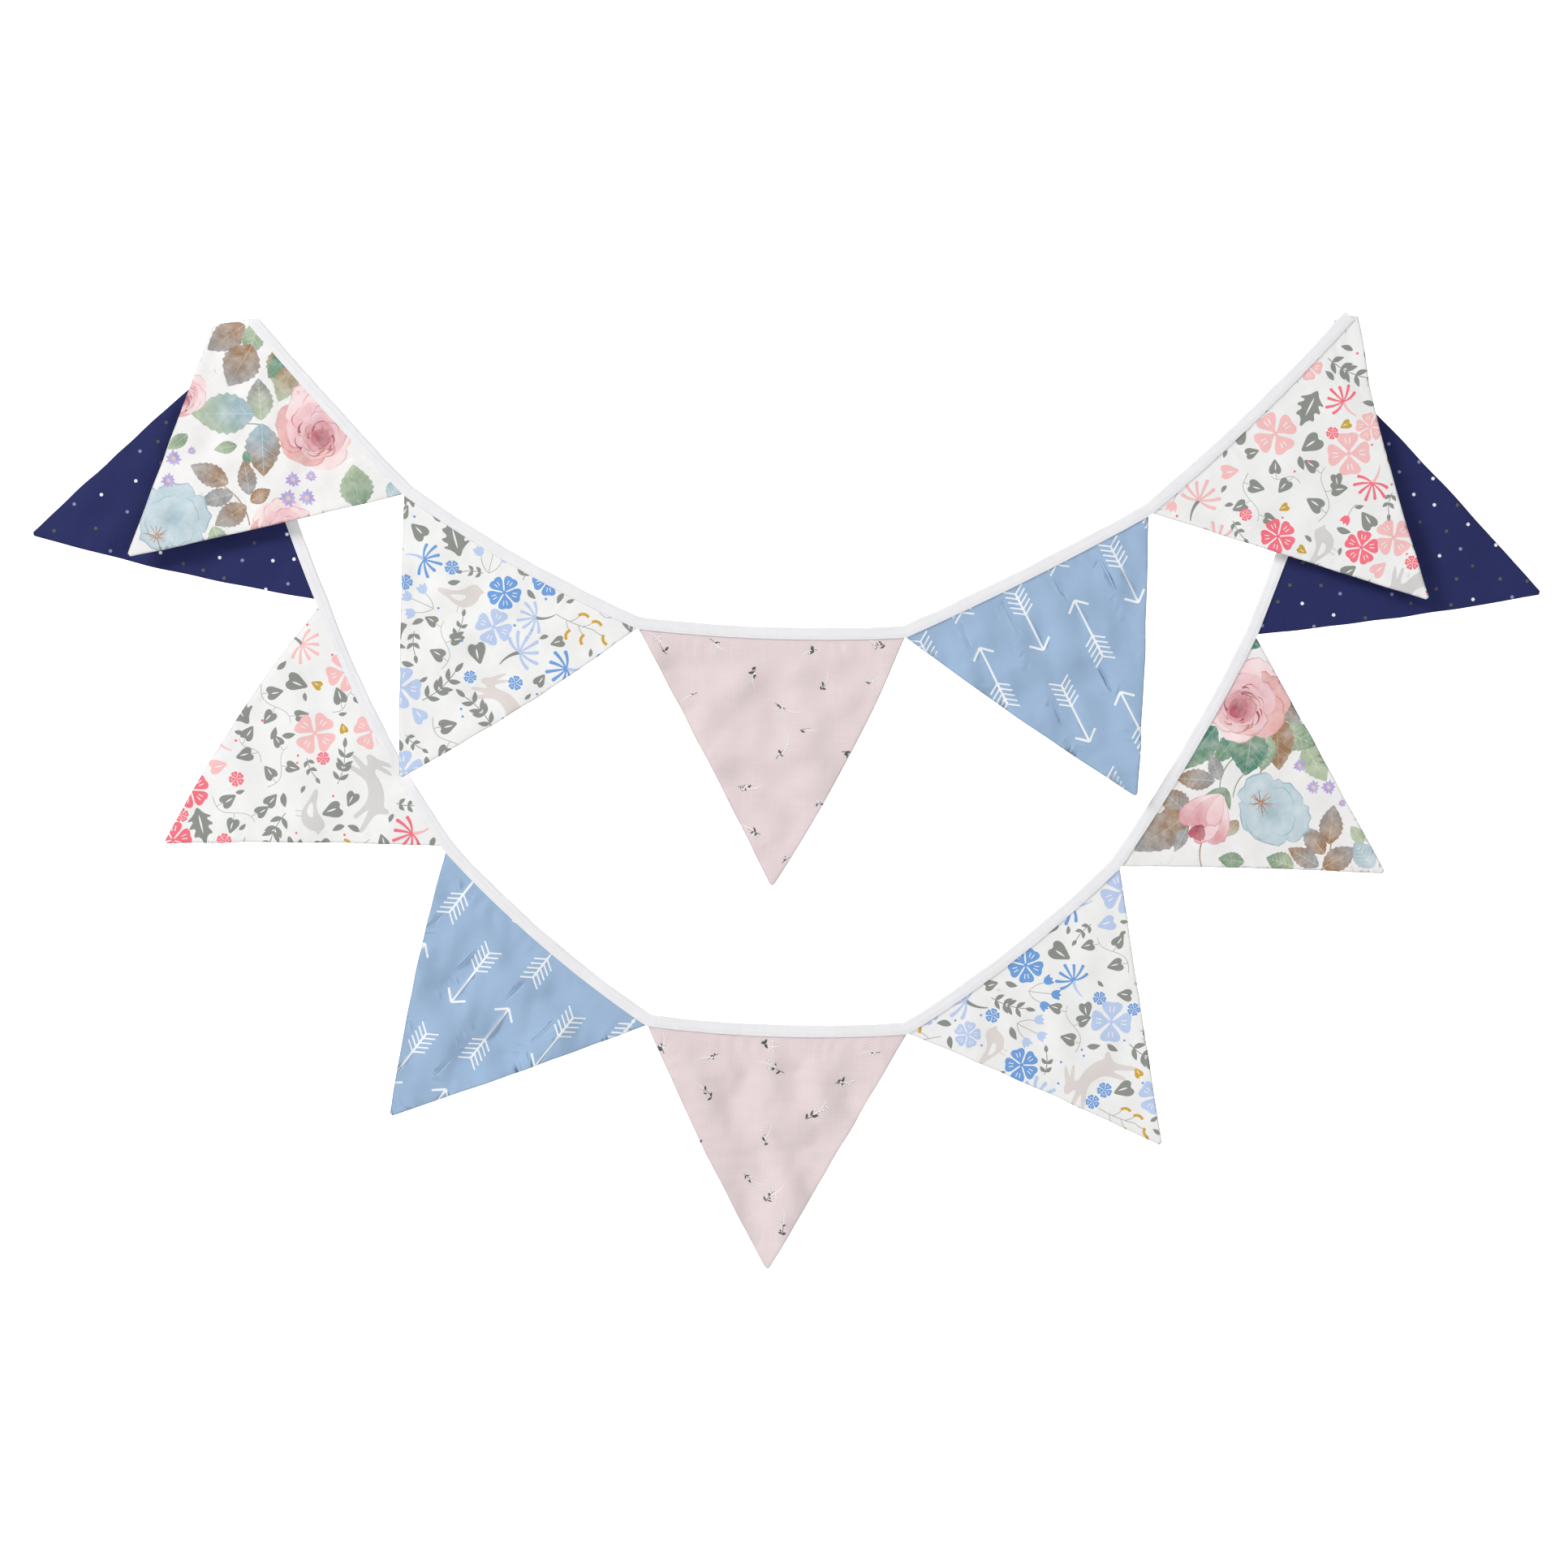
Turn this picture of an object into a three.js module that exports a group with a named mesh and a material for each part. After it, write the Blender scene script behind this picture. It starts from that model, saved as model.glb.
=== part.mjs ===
// Fabric bunting: twelve double-sided cloth pennants, sewn side by side into one folded tape.
// The string hangs in two swags between two points at one height. It turns over at the left
// point, and both of its ends meet at the right one.
// Millimetres, +Z up, the front faces -Y. The origin is the left point, inside the turn.

import * as THREE from "three";

// The cloth
const PENNANT_THICK = 1.2; // two cotton panels, sewn and turned
const TIP_WIDTH = 3.6; // a turned tip is a little blunt
const PIECE_GAP = 0.3;

// The tape, folded over the pennants' top edges
const TAPE_WIDTH = 9.2;
const TAPE_WALL = 0.8;
const TAPE_ROUND = 0.7;
const SLOT = PENNANT_THICK + 2 * PIECE_GAP;
const EMPTY_SLOT = 0.4; // where no pennant is sewn in
const MARGIN = TAPE_WIDTH - TAPE_WALL - 2 * PIECE_GAP; // a pennant's top edge inside the tape
const END_FOLD = 2; // the tape past the last pennant, at the end with no tail

// The two swags hang in two layers, and the string turns over from one to the other
const LAYER = 4.2; // from the middle plane to either swag, and the radius of the turn
const TURN_TILT = 7.6; // degrees, the turn rises to the right
const TURN_STEPS = 4;

// The steps of the solids
const TAPE_STEPS = 8; // along each pennant's base
const PLAIN_ROWS = 10; // rows of a smooth pennant
const CREASED_ROWS = 18; // rows of a creased one

// The folds
const FADE_AT_TAPE = 30; // below the tape the cloth is held flat, and moves freely from here on
const FADE_AT_TURN = 25;
const CROWN = 0.8; // each pennant's middle stands a little proud of its sides
const FLARE_REACH = 0.22; // of the pennant's height

const FRONT = "front";
const REAR = "rear";

function table(columns, rows) {
  return rows.map((row) => Object.fromEntries(columns.map((column, index) => [column, row[index]])));
}

// The pennants of each swag, from left to right, with real sizes as sewn and hung.
// gap: bare tape before the pennant. heading: the slope of its base, in degrees. base: the side
// that is sewn in. height: from the base to the tip. lean: the tip's place along the base.
// sag: how far the base bows down. leftBow, rightBow: how far the free sides bow out.
// tip: how far the tip stands forward of the base. flare: how far the right top corner stands
// out past the tape.
const PENNANT_COLUMNS = [
  "name", "print", "gap", "heading", "base", "height", "lean", "sag", "leftBow", "rightBow", "tip",
  "flare",
];
const UPPER = table(PENNANT_COLUMNS, [
  ["upper_1_rose", "rose", 0.0, -48.1, 201.4, 182.7, 98.2, 1.8, 0.3, 1.0, 2.6, 0],
  ["upper_2_blue_floral", "blue_floral", 0.8, -29.8, 202.4, 183.7, 103.4, 5.2, 1.1, 4.0, 3.2, 0],
  ["upper_3_pink_sprig", "pink_sprig", 1.0, -1.9, 200.7, 188.0, 107.0, 4.0, -0.9, 5.6, 3.6, 0],
  ["upper_4_arrows", "arrows", 0.8, 26.6, 204.6, 182.4, 101.9, 2.2, 2.2, 1.5, 2.4, 0],
  ["upper_5_coral_floral", "coral_floral", 3.3, 43.9, 208.5, 188.4, 104.5, 3.6, 0.0, -2.2, 2.8, 6.3],
]);
const LOWER = table(PENNANT_COLUMNS, [
  ["lower_1_navy_dots", "navy_dots", 5.0, -71.5, 198.0, 185.4, 83.6, 3.0, 1.2, 3.6, -2.4, 0],
  ["lower_2_coral_floral", "coral_floral", 6.4, -62.9, 202.7, 181.8, 105.5, 6.2, 6.4, -2.0, 2.0, 0],
  ["lower_3_arrows", "arrows", 5.6, -40.8, 200.3, 175.1, 98.6, 5.8, 3.8, 1.2, 2.6, 0],
  ["lower_4_pink_sprig", "pink_sprig", 1.4, -1.8, 195.8, 178.7, 96.1, 4.8, 3.0, 0.2, 3.4, 0],
  ["lower_5_blue_floral", "blue_floral", 1.2, 38.1, 203.0, 181.6, 98.5, 5.6, -1.6, -0.4, 2.2, 0],
  ["lower_6_rose", "rose", 1.2, 59.5, 201.0, 171.5, 96.9, 3.6, -1.6, 0.2, 2.0, 0],
  ["lower_7_navy_dots", "navy_dots", 2.2, 69.6, 200.3, 187.9, 103.7, 0.8, 2.5, 1.5, -2.4, 0],
]);
const UPPER_START = new THREE.Vector2(-6.7, 23.9); // the first corner, as if laid flat past the turn

// The bare tape that runs up from the last lower pennant to the right point
const TAIL = table(["heading", "length"], [
  [80, 13],
  [94, 15],
  [102, 24],
]);

// The creases that show from a step away. along and down: the middle of a crease, from the
// base's left end. turn: its slope against the base, in degrees. rise: its height, towards the
// front.
const CREASE_COLUMNS = ["along", "down", "turn", "length", "width", "rise"];
const CREASES = {
  upper_3_pink_sprig: table(CREASE_COLUMNS, [
    [97, 111, 28, 112, 13, -1.8],
    [109, 86, 3, 110, 14, 1.3],
    [143, 40, 37, 60, 12, -1.1],
  ]),
  upper_4_arrows: table(CREASE_COLUMNS, [
    [112, 90, -8, 52, 12, -1.6],
    [118, 104, -16, 52, 11, 1.1],
    [60, 45, 35, 80, 18, 1.0],
  ]),
  lower_3_arrows: table(CREASE_COLUMNS, [
    [76, 68, -1, 96, 13, -1.7],
    [122, 98, -37, 76, 13, -1.5],
    [96, 120, 12, 60, 14, 1.3],
  ]),
  lower_4_pink_sprig: table(CREASE_COLUMNS, [
    [76, 40, 124, 62, 13, -1.8],
    [118, 88, -27, 76, 13, -1.7],
    [52, 30, -24, 70, 14, 1.6],
    [112, 36, 6, 66, 13, 1.2],
  ]),
};

const COLOURS = {
  rose: 0xdccfca,
  blue_floral: 0xdfe2e6,
  pink_sprig: 0xe4d6d8,
  arrows: 0x97b2d2,
  coral_floral: 0xe9dcda,
  navy_dots: 0x262c64,
  tape: 0xececee,
};

function direction(degrees) {
  const angle = THREE.MathUtils.degToRad(degrees);
  return new THREE.Vector2(Math.cos(angle), Math.sin(angle));
}

function outwardOf(along) {
  return new THREE.Vector2(-along.y, along.x);
}

// The seam line between two stretches of tape, so that each keeps its width.
function mitre(before, after) {
  const middle = outwardOf(before).add(outwardOf(after)).normalize();
  return middle.divideScalar(middle.dot(outwardOf(before)));
}

// The turn is a half round about a line through the origin.
const TURN_ALONG = direction(TURN_TILT);
const TURN_UP = outwardOf(TURN_ALONG);
const TURN_LENGTH = Math.PI * LAYER;

// A point of the front swag, laid flat, as it lies in the rear layer past the turn.
function pastTurn(point) {
  const run = point.dot(TURN_ALONG);
  const drop = point.dot(TURN_UP) - TURN_LENGTH;
  return TURN_ALONG.clone().multiplyScalar(run).addScaledVector(TURN_UP, -drop);
}

// The same for a direction. It works both ways.
function mirrored(vector) {
  return vector.clone().addScaledVector(TURN_UP, -2 * vector.dot(TURN_UP));
}

// The way from the turn's line to the cloth, back to front and up. The turn has flat facets,
// so the tape and the cloth inside it bend at the same lines.
function roundTheTurn(rise) {
  const step = THREE.MathUtils.clamp(rise / TURN_LENGTH, 0, 1) * TURN_STEPS;
  const corner = (index) => {
    const angle = (Math.PI * index) / TURN_STEPS;
    return new THREE.Vector2(-Math.cos(angle), Math.sin(angle));
  };
  const from = Math.min(Math.floor(step), TURN_STEPS - 1);
  return corner(from).lerp(corner(from + 1), step - from);
}

// From a swag's flat layout to space. inward: the distance from the swag's own middle
// surface towards the middle plane between the swags.
function place(layer, point, inward) {
  if (layer === REAR) {
    return new THREE.Vector3(point.x, LAYER - inward, point.y);
  }
  const run = point.dot(TURN_ALONG);
  const rise = point.dot(TURN_UP);
  const round = roundTheTurn(rise).multiplyScalar(LAYER - inward);
  const height = Math.min(rise, 0) + round.y - Math.max(rise - TURN_LENGTH, 0);
  const flat = TURN_ALONG.clone().multiplyScalar(run).addScaledVector(TURN_UP, height);
  return new THREE.Vector3(flat.x, round.x, flat.y);
}

// Walks along a swag's base line and sets out each pennant in its flat layout.
function layOut(rows, start, layer) {
  const corner = start.clone();
  return rows.map((row, index) => {
    const along = direction(row.heading);
    const down = outwardOf(along).negate();
    if (index > 0) {
      corner.addScaledVector(direction((row.heading + rows[index - 1].heading) / 2), row.gap);
    }
    const left = corner.clone();
    corner.addScaledVector(along, row.base);
    const tipPoint = left.clone().addScaledVector(along, row.lean).addScaledVector(down, row.height);
    return { ...row, layer, along, down, left, tipPoint, creases: CREASES[row.name] ?? [] };
  });
}

// The base line bows down between its ends.
function basePoint(pennant, share) {
  const bow = 4 * pennant.sag * share * (1 - share);
  const point = pennant.left.clone().addScaledVector(pennant.along, pennant.base * share);
  return point.addScaledVector(pennant.down, bow);
}

function baseDirection(pennant, share) {
  const slope = (4 * pennant.sag * (1 - 2 * share)) / pennant.base;
  return pennant.along.clone().addScaledVector(pennant.down, slope).normalize();
}

function setSeams(pennants) {
  pennants.forEach((pennant, index) => {
    const next = pennants[index + 1];
    if (next) {
      pennant.rightSeam = mitre(baseDirection(pennant, 1), baseDirection(next, 0));
      next.leftSeam = pennant.rightSeam;
    } else {
      pennant.rightSeam = outwardOf(baseDirection(pennant, 1));
    }
  });
}

// Which way the tape's outer edge lies from a point of the base line, per millimetre of width.
function seamAt(pennant, share) {
  if (share === 0) {
    return pennant.leftSeam;
  }
  if (share === 1) {
    return pennant.rightSeam;
  }
  return outwardOf(baseDirection(pennant, share));
}

function smoothStep(value) {
  return THREE.MathUtils.smoothstep(value, 0, 1);
}

// How far the cloth stands towards the front at a point of its flat layout.
function relief(pennant, point) {
  const offset = point.clone().sub(pennant.left);
  const along = offset.dot(pennant.along);
  const down = offset.dot(pennant.down);
  const share = along / pennant.base;
  const free = down - 4 * pennant.sag * share * (1 - share);
  if (free <= 0) {
    return 0;
  }
  const depth = down / pennant.height;
  const side = (along - THREE.MathUtils.lerp(pennant.base / 2, pennant.lean, depth)) / (pennant.base / 2);
  let height = pennant.tip * depth * depth + CROWN * (1 - side * side);
  for (const crease of pennant.creases) {
    const line = direction(-crease.turn);
    const across = new THREE.Vector2(along - crease.along, crease.down - down);
    const ahead = Math.abs(across.dot(line)) / (crease.length / 2);
    const aside = across.dot(outwardOf(line)) / crease.width;
    height += crease.rise * Math.exp(-aside * aside) * smoothStep(1.25 - ahead);
  }
  const held = smoothStep(free / FADE_AT_TAPE);
  const turned = pennant.layer === FRONT ? smoothStep(-point.dot(TURN_UP) / FADE_AT_TURN) : 1;
  return height * held * turned;
}

// Joins two rows of points with triangles, walking along both at once.
function stitchRows(upper, lower, triangles) {
  let i = 0;
  let j = 0;
  while (i < upper.length - 1 || j < lower.length - 1) {
    const upperNext = (i + 1) / (upper.length - 1);
    const lowerNext = (j + 1) / (lower.length - 1);
    const moveUpper = j === lower.length - 1 || (i < upper.length - 1 && upperNext <= lowerNext);
    if (moveUpper) {
      triangles.push([upper[i], lower[j], upper[i + 1]]);
      i += 1;
    } else {
      triangles.push([upper[i], lower[j], lower[j + 1]]);
      j += 1;
    }
  }
}

// A pennant's flat layout: its margin inside the tape, then rows that narrow to the tip.
function pennantSheet(pennant) {
  const rowCount = pennant.creases.length > 0 ? CREASED_ROWS : PLAIN_ROWS;
  const points = [];
  const triangles = [];
  const inset = PIECE_GAP / pennant.base;
  const tipAt = (share) =>
    pennant.tipPoint.clone().addScaledVector(pennant.along, (share - 0.5) * TIP_WIDTH);
  const bowAt = (share, depth) => {
    const bow = 4 * depth * (1 - depth);
    const flare = pennant.flare * Math.exp(-((depth / FLARE_REACH) ** 2));
    return (pennant.rightBow * bow + flare) * share - pennant.leftBow * bow * (1 - share);
  };
  const addRow = (count, at) => {
    const row = [];
    for (let i = 0; i <= count; i += 1) {
      row.push(points.length);
      points.push(at(i / count));
    }
    return row;
  };
  const onBase = (share) => basePoint(pennant, THREE.MathUtils.clamp(share, inset, 1 - inset));
  let last = addRow(rowCount, (share) =>
    onBase(share).addScaledVector(seamAt(pennant, share), MARGIN),
  );
  for (let j = 0; j <= rowCount; j += 1) {
    const depth = j / rowCount;
    const next = addRow(Math.max(rowCount - j, 1), (share) => {
      const straight = onBase(share).lerp(tipAt(share), depth);
      return straight.addScaledVector(pennant.along, bowAt(share, depth));
    });
    stitchRows(last, next, triangles);
    last = next;
  }
  return { points, triangles };
}

// Splits a flat layout along a line across it, so that the cloth can bend there.
function splitAlong(sheet, level) {
  const tolerance = 1e-4;
  const points = sheet.points;
  const height = points.map((point) => {
    const above = point.dot(TURN_UP) - level;
    return Math.abs(above) < tolerance ? 0 : above;
  });
  const made = new Map();
  const crossing = (a, b) => {
    const key = a < b ? `${a},${b}` : `${b},${a}`;
    if (!made.has(key)) {
      made.set(key, points.length);
      const [low, high] = a < b ? [a, b] : [b, a];
      points.push(points[low].clone().lerp(points[high], height[low] / (height[low] - height[high])));
      height.push(0);
    }
    return made.get(key);
  };
  const triangles = [];
  for (const triangle of sheet.triangles) {
    for (const sign of [1, -1]) {
      const kept = [];
      triangle.forEach((a, k) => {
        const b = triangle[(k + 1) % 3];
        if (sign * height[a] >= 0) {
          kept.push(a);
        }
        if (height[a] * height[b] < 0) {
          kept.push(crossing(a, b));
        }
      });
      const solidSide = kept.some((index) => sign * height[index] > 0);
      for (let k = 1; solidSide && k < kept.length - 1; k += 1) {
        triangles.push([kept[0], kept[k], kept[k + 1]]);
      }
    }
  }
  return { points, triangles };
}

function closedGeometry(positions, triangles) {
  let volume = 0;
  for (const [a, b, c] of triangles) {
    volume += positions[a].dot(positions[b].clone().cross(positions[c]));
  }
  const facing = volume > 0 ? triangles : triangles.map(([a, b, c]) => [a, c, b]);
  const geometry = new THREE.BufferGeometry();
  const flat = positions.flatMap((point) => [point.x, point.y, point.z]);
  geometry.setAttribute("position", new THREE.Float32BufferAttribute(flat, 3));
  geometry.setIndex(facing.flat());
  geometry.computeVertexNormals();
  return geometry;
}

// Gives a flat layout its place, its folds and its thickness.
function clothGeometry(pennant, sheet) {
  const towardsFront = pennant.layer === FRONT ? -1 : 1;
  const count = sheet.points.length;
  const positions = [];
  for (const face of [-PENNANT_THICK / 2, PENNANT_THICK / 2]) {
    for (const point of sheet.points) {
      positions.push(place(pennant.layer, point, towardsFront * relief(pennant, point) + face));
    }
  }
  const triangles = [];
  const edges = new Map();
  for (const [a, b, c] of sheet.triangles) {
    triangles.push([a, b, c], [a + count, c + count, b + count]);
    for (const [from, to] of [[a, b], [b, c], [c, a]]) {
      if (!edges.delete(`${to},${from}`)) {
        edges.set(`${from},${to}`, [from, to]);
      }
    }
  }
  for (const [from, to] of edges.values()) {
    triangles.push([to, from, from + count], [to, from + count, to + count]);
  }
  return closedGeometry(positions, triangles);
}

function pennantGeometry(pennant) {
  let sheet = pennantSheet(pennant);
  const turns = pennant.layer === FRONT && pennant.left.dot(TURN_UP) > 0;
  for (let step = 0; turns && step <= TURN_STEPS; step += 1) {
    sheet = splitAlong(sheet, (TURN_LENGTH * step) / TURN_STEPS);
  }
  return clothGeometry(pennant, sheet);
}

// The tape's section: width from the sewn edge outwards, and depth through the two walls.
function tapeSection(slot) {
  const inner = slot / 2;
  const outer = inner + TAPE_WALL;
  return [
    [0, -inner],
    [0, -outer],
    [TAPE_WIDTH - TAPE_ROUND, -outer],
    [TAPE_WIDTH, -outer + TAPE_ROUND],
    [TAPE_WIDTH, outer - TAPE_ROUND],
    [TAPE_WIDTH - TAPE_ROUND, outer],
    [0, outer],
    [0, inner],
    [TAPE_WIDTH - TAPE_WALL, inner],
    [TAPE_WIDTH - TAPE_WALL, -inner],
  ];
}

// The share of a pennant's base at which it reaches a height above the turn's line.
function shareAtRise(pennant, rise) {
  let low = 0;
  let high = 1;
  while (high - low > 1e-7) {
    const middle = (low + high) / 2;
    if (basePoint(pennant, middle).dot(TURN_UP) > rise) {
      low = middle;
    } else {
      high = middle;
    }
  }
  return low;
}

// The cuts across the tape, from the upper swag's right end round the turn to the tail.
function tapeCuts(upper, lower) {
  const cuts = [];
  const addCut = (layer, point, seam, slot = SLOT) => cuts.push({ layer, point, seam, slot });
  const addBase = (pennant, share) =>
    addCut(pennant.layer, basePoint(pennant, share), seamAt(pennant, share));

  const lastUpper = upper[upper.length - 1];
  const endDirection = baseDirection(lastUpper, 1);
  const end = basePoint(lastUpper, 1).addScaledVector(endDirection, END_FOLD);
  addCut(FRONT, end, outwardOf(endDirection));
  for (const pennant of [...upper].reverse()) {
    const turns = pennant.left.dot(TURN_UP) > 0;
    const turnStart = turns ? shareAtRise(pennant, 0) : 0;
    for (let step = TAPE_STEPS; step >= 0; step -= 1) {
      const share = step / TAPE_STEPS;
      if (!turns || share > turnStart + 1 / TAPE_STEPS / 2) {
        addBase(pennant, share);
      }
    }
  }
  const first = upper[0];
  for (let step = 0; step <= TURN_STEPS; step += 1) {
    const share = shareAtRise(first, (TURN_LENGTH * step) / TURN_STEPS);
    const seam = TURN_ALONG.clone().divideScalar(TURN_ALONG.dot(outwardOf(baseDirection(first, share))));
    addCut(FRONT, basePoint(first, share), seam);
  }
  addBase(first, 0);
  for (const pennant of lower) {
    for (let step = 0; step <= TAPE_STEPS; step += 1) {
      addBase(pennant, step / TAPE_STEPS);
    }
  }
  const lastLower = lower[lower.length - 1];
  const point = basePoint(lastLower, 1);
  for (const [index, stretch] of TAIL.entries()) {
    const next = TAIL[index + 1] ?? stretch;
    point.addScaledVector(direction(stretch.heading), stretch.length);
    addCut(REAR, point.clone(), mitre(direction(stretch.heading), direction(next.heading)), EMPTY_SLOT);
  }
  return cuts;
}

function tapeGeometry(upper, lower) {
  const cuts = tapeCuts(upper, lower);
  const positions = [];
  for (const { layer, point, seam, slot } of cuts) {
    for (const [width, depth] of tapeSection(slot)) {
      positions.push(place(layer, point.clone().addScaledVector(seam, width), depth));
    }
  }
  const corners = tapeSection(SLOT).map(([width, depth]) => new THREE.Vector2(width, depth));
  const count = corners.length;
  const triangles = [];
  for (let ring = 0; ring < cuts.length - 1; ring += 1) {
    for (let k = 0; k < count; k += 1) {
      const a = ring * count + k;
      const b = ring * count + ((k + 1) % count);
      triangles.push([a, b, b + count], [a, b + count, a + count]);
    }
  }
  const lastRing = (cuts.length - 1) * count;
  for (const [a, b, c] of THREE.ShapeUtils.triangulateShape(corners, [])) {
    triangles.push([a, c, b], [a + lastRing, b + lastRing, c + lastRing]);
  }
  return closedGeometry(positions, triangles);
}

function clothMesh(name, colour, geometry) {
  const material = new THREE.MeshStandardMaterial({ color: COLOURS[colour], roughness: 0.9, metalness: 0 });
  const mesh = new THREE.Mesh(geometry, material);
  mesh.name = name;
  return mesh;
}

const upper = layOut(UPPER, UPPER_START, FRONT);
const arriving = mirrored(baseDirection(upper[0], 0).negate());
const lowerHeading = arriving.clone().add(direction(LOWER[0].heading)).normalize();
const lowerStart = pastTurn(upper[0].left).addScaledVector(lowerHeading, LOWER[0].gap);
const lower = layOut(LOWER, lowerStart, REAR);
setSeams(upper);
setSeams(lower);

// Where the first upper pennant meets the first lower one, both behind, past the turn
const meeting = mitre(arriving, baseDirection(lower[0], 0));
lower[0].leftSeam = meeting;
upper[0].leftSeam = mirrored(meeting);

const bunting = new THREE.Group();
bunting.add(clothMesh("tape", "tape", tapeGeometry(upper, lower)));
for (const pennant of [...upper, ...lower]) {
  bunting.add(clothMesh(pennant.name, pennant.print, pennantGeometry(pennant)));
}

export default bunting;
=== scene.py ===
"""Dresses the fabric bunting: printed double-sided pennants in a folded white tape.

The string hangs in two swags between two points. It turns over at the left point, and both of
its ends meet at the right one. Each swag is laid out flat in millimetres, as (x, z), and then
placed in its own layer. Meshes are in metres. A pennant's print is cut into its cloth, so that
every motif has its own outline and colour in the mesh.
"""

import logging
import math
import random
from dataclasses import dataclass, field, replace
from enum import Enum
from typing import Iterable, Optional, Sequence

import bpy
import numpy as np
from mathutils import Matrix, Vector
from mathutils.geometry import delaunay_2d_cdt

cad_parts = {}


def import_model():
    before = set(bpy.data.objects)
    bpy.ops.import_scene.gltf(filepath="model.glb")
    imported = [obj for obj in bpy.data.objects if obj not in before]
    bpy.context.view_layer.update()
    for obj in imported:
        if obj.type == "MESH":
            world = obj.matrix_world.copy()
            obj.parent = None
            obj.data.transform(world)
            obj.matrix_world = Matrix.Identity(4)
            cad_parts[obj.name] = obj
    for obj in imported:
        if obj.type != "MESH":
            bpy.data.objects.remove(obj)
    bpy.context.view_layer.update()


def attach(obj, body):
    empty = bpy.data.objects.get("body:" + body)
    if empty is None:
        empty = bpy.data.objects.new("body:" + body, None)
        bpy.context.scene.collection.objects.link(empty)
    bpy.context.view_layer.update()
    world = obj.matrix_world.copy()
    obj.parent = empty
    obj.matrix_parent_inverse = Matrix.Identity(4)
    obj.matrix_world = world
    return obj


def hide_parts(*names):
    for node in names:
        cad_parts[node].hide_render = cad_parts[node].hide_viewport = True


LOG = logging.getLogger("bunting")
MM = 0.001

Points = np.ndarray
Path = Sequence[tuple[float, float]]
Rgb = tuple[int, int, int]

# The two layers, and the turn from one to the other
LAYER_DEPTH = 4.2
TURN_TILT = 7.6
TURN_LENGTH = math.pi * LAYER_DEPTH
TURN_BLEND = 22.0

# The tape, its cuts and its stitches, each a thread of rings (along, radius, height)
TAPE_WIDTH = 9.2
MARGIN = 7.0
PIECE_GAP = 0.3
END_FOLD = 2.0
STATION_STEP = 2.5
TURN_STEP = 1.2
TAIL_STEPS = 5
STITCH_PITCH = 2.9
STITCH_LINE = 1.6
STITCH_RINGS = ((-1.1, 0.1, 1.02), (-0.6, 0.2, 1.19), (0.6, 0.2, 1.19), (1.1, 0.1, 1.02))
SEAM_BLEND = 12.0

# The cloth: its body, its seams, and how finely its mesh is cut
HALF_THICK = 0.5
RIM = 0.5
# Painted shade: the cloth's colour is darkened by this share at its turned edges and along the crest of the turn,
# fading out over this width in millimetres; the last number widens that band at the crest
EDGE_SHADE = 0.34
EDGE_SHADE_WIDTH = 1.1
TURN_SHADE_SPREAD = 2.4
SEAM_RIDGE = 0.16
SEAM_WIDTH = 6.5
TIP_WIDTH = 3.6
TIP_ROUND = 0.7
FLARE_REACH = 0.22
CROWN = 0.8
FADE_AT_TAPE = 26.0
FADE_AT_TURN = 25.0
OUTLINE_STEP = 2.6
GRID_STEP = 3.0
GRID_ROWS = 0.866
FINE_STEP = 1.4
FINE_ALONG = (-12, 48)
FINE_DOWN = (-12, 60)
FINE_REACH = 4.0
CUT_ROUNDS = 4
EAR_ROUNDS = 8
EDGE_INSETS = (0.14, 0.5, 1.4)
EDGE_LIMITS = (0.12, 0.44, 1.2, 2.2, 1.0)
UV_PER_MM = 0.01
BACK_SHIFT = (260.0, 40.0)

# The cloth's waves, from crest to crest, and where its gathers and its hem's puckers lie
FOLDS = (24.0, 75.0)
WRINKLES = (11.0, 24.0)
WRINKLE_SHARE = 0.14
WARP = (30.0, 90.0)
GATHER_WAVE = 1.9
GATHER_PLACE = (7.0, 9.0)
HEM_WAVE = 1.7
HEM_PLACE = (6.0, 4.5)


def direction(degrees: float) -> Points:
    """The unit vector of a heading in the flat layout."""
    angle = math.radians(degrees)
    return np.array([math.cos(angle), math.sin(angle)])


def outward_of(along: Points) -> Points:
    """The vector a quarter turn to the left of another."""
    return np.array([-along[1], along[0]])


def mitre(before: Points, after: Points) -> Points:
    """The seam line between two stretches of tape, so that each keeps its width.

    Args:
        before: the first stretch's direction.
        after: the second one's.

    Returns:
        Which way the seam runs, per millimetre of width.
    """
    middle = outward_of(before) + outward_of(after)
    middle /= np.linalg.norm(middle)
    return middle / (middle @ outward_of(before))


def smooth_step(value: Points) -> Points:
    """Goes smoothly from 0 to 1 as the value does."""
    value = np.clip(value, 0.0, 1.0)
    return value * value * (3.0 - 2.0 * value)


TURN_ALONG = direction(TURN_TILT)
TURN_UP = outward_of(TURN_ALONG)


class Layer(Enum):
    """Which of the two layers a swag hangs in."""

    FRONT = -1
    REAR = 1


class Face(Enum):
    """The two panels of a pennant."""

    FRONT = "front"
    BACK = "back"


def sway(flat: Points) -> Points:
    """How far a string stands forward of its layer's plane, from its own gentle waves.

    Args:
        flat: points of the flat layout.

    Returns:
        One distance for each point.
    """
    x, z = flat[:, 0], flat[:, 1]
    wave = 0.45 * np.sin(x / 41.0 + 1.0) + 0.35 * np.sin(z / 29.0 + x / 83.0 + 2.0)
    return wave * smooth_step(-(flat @ TURN_UP) / 60.0)


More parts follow.
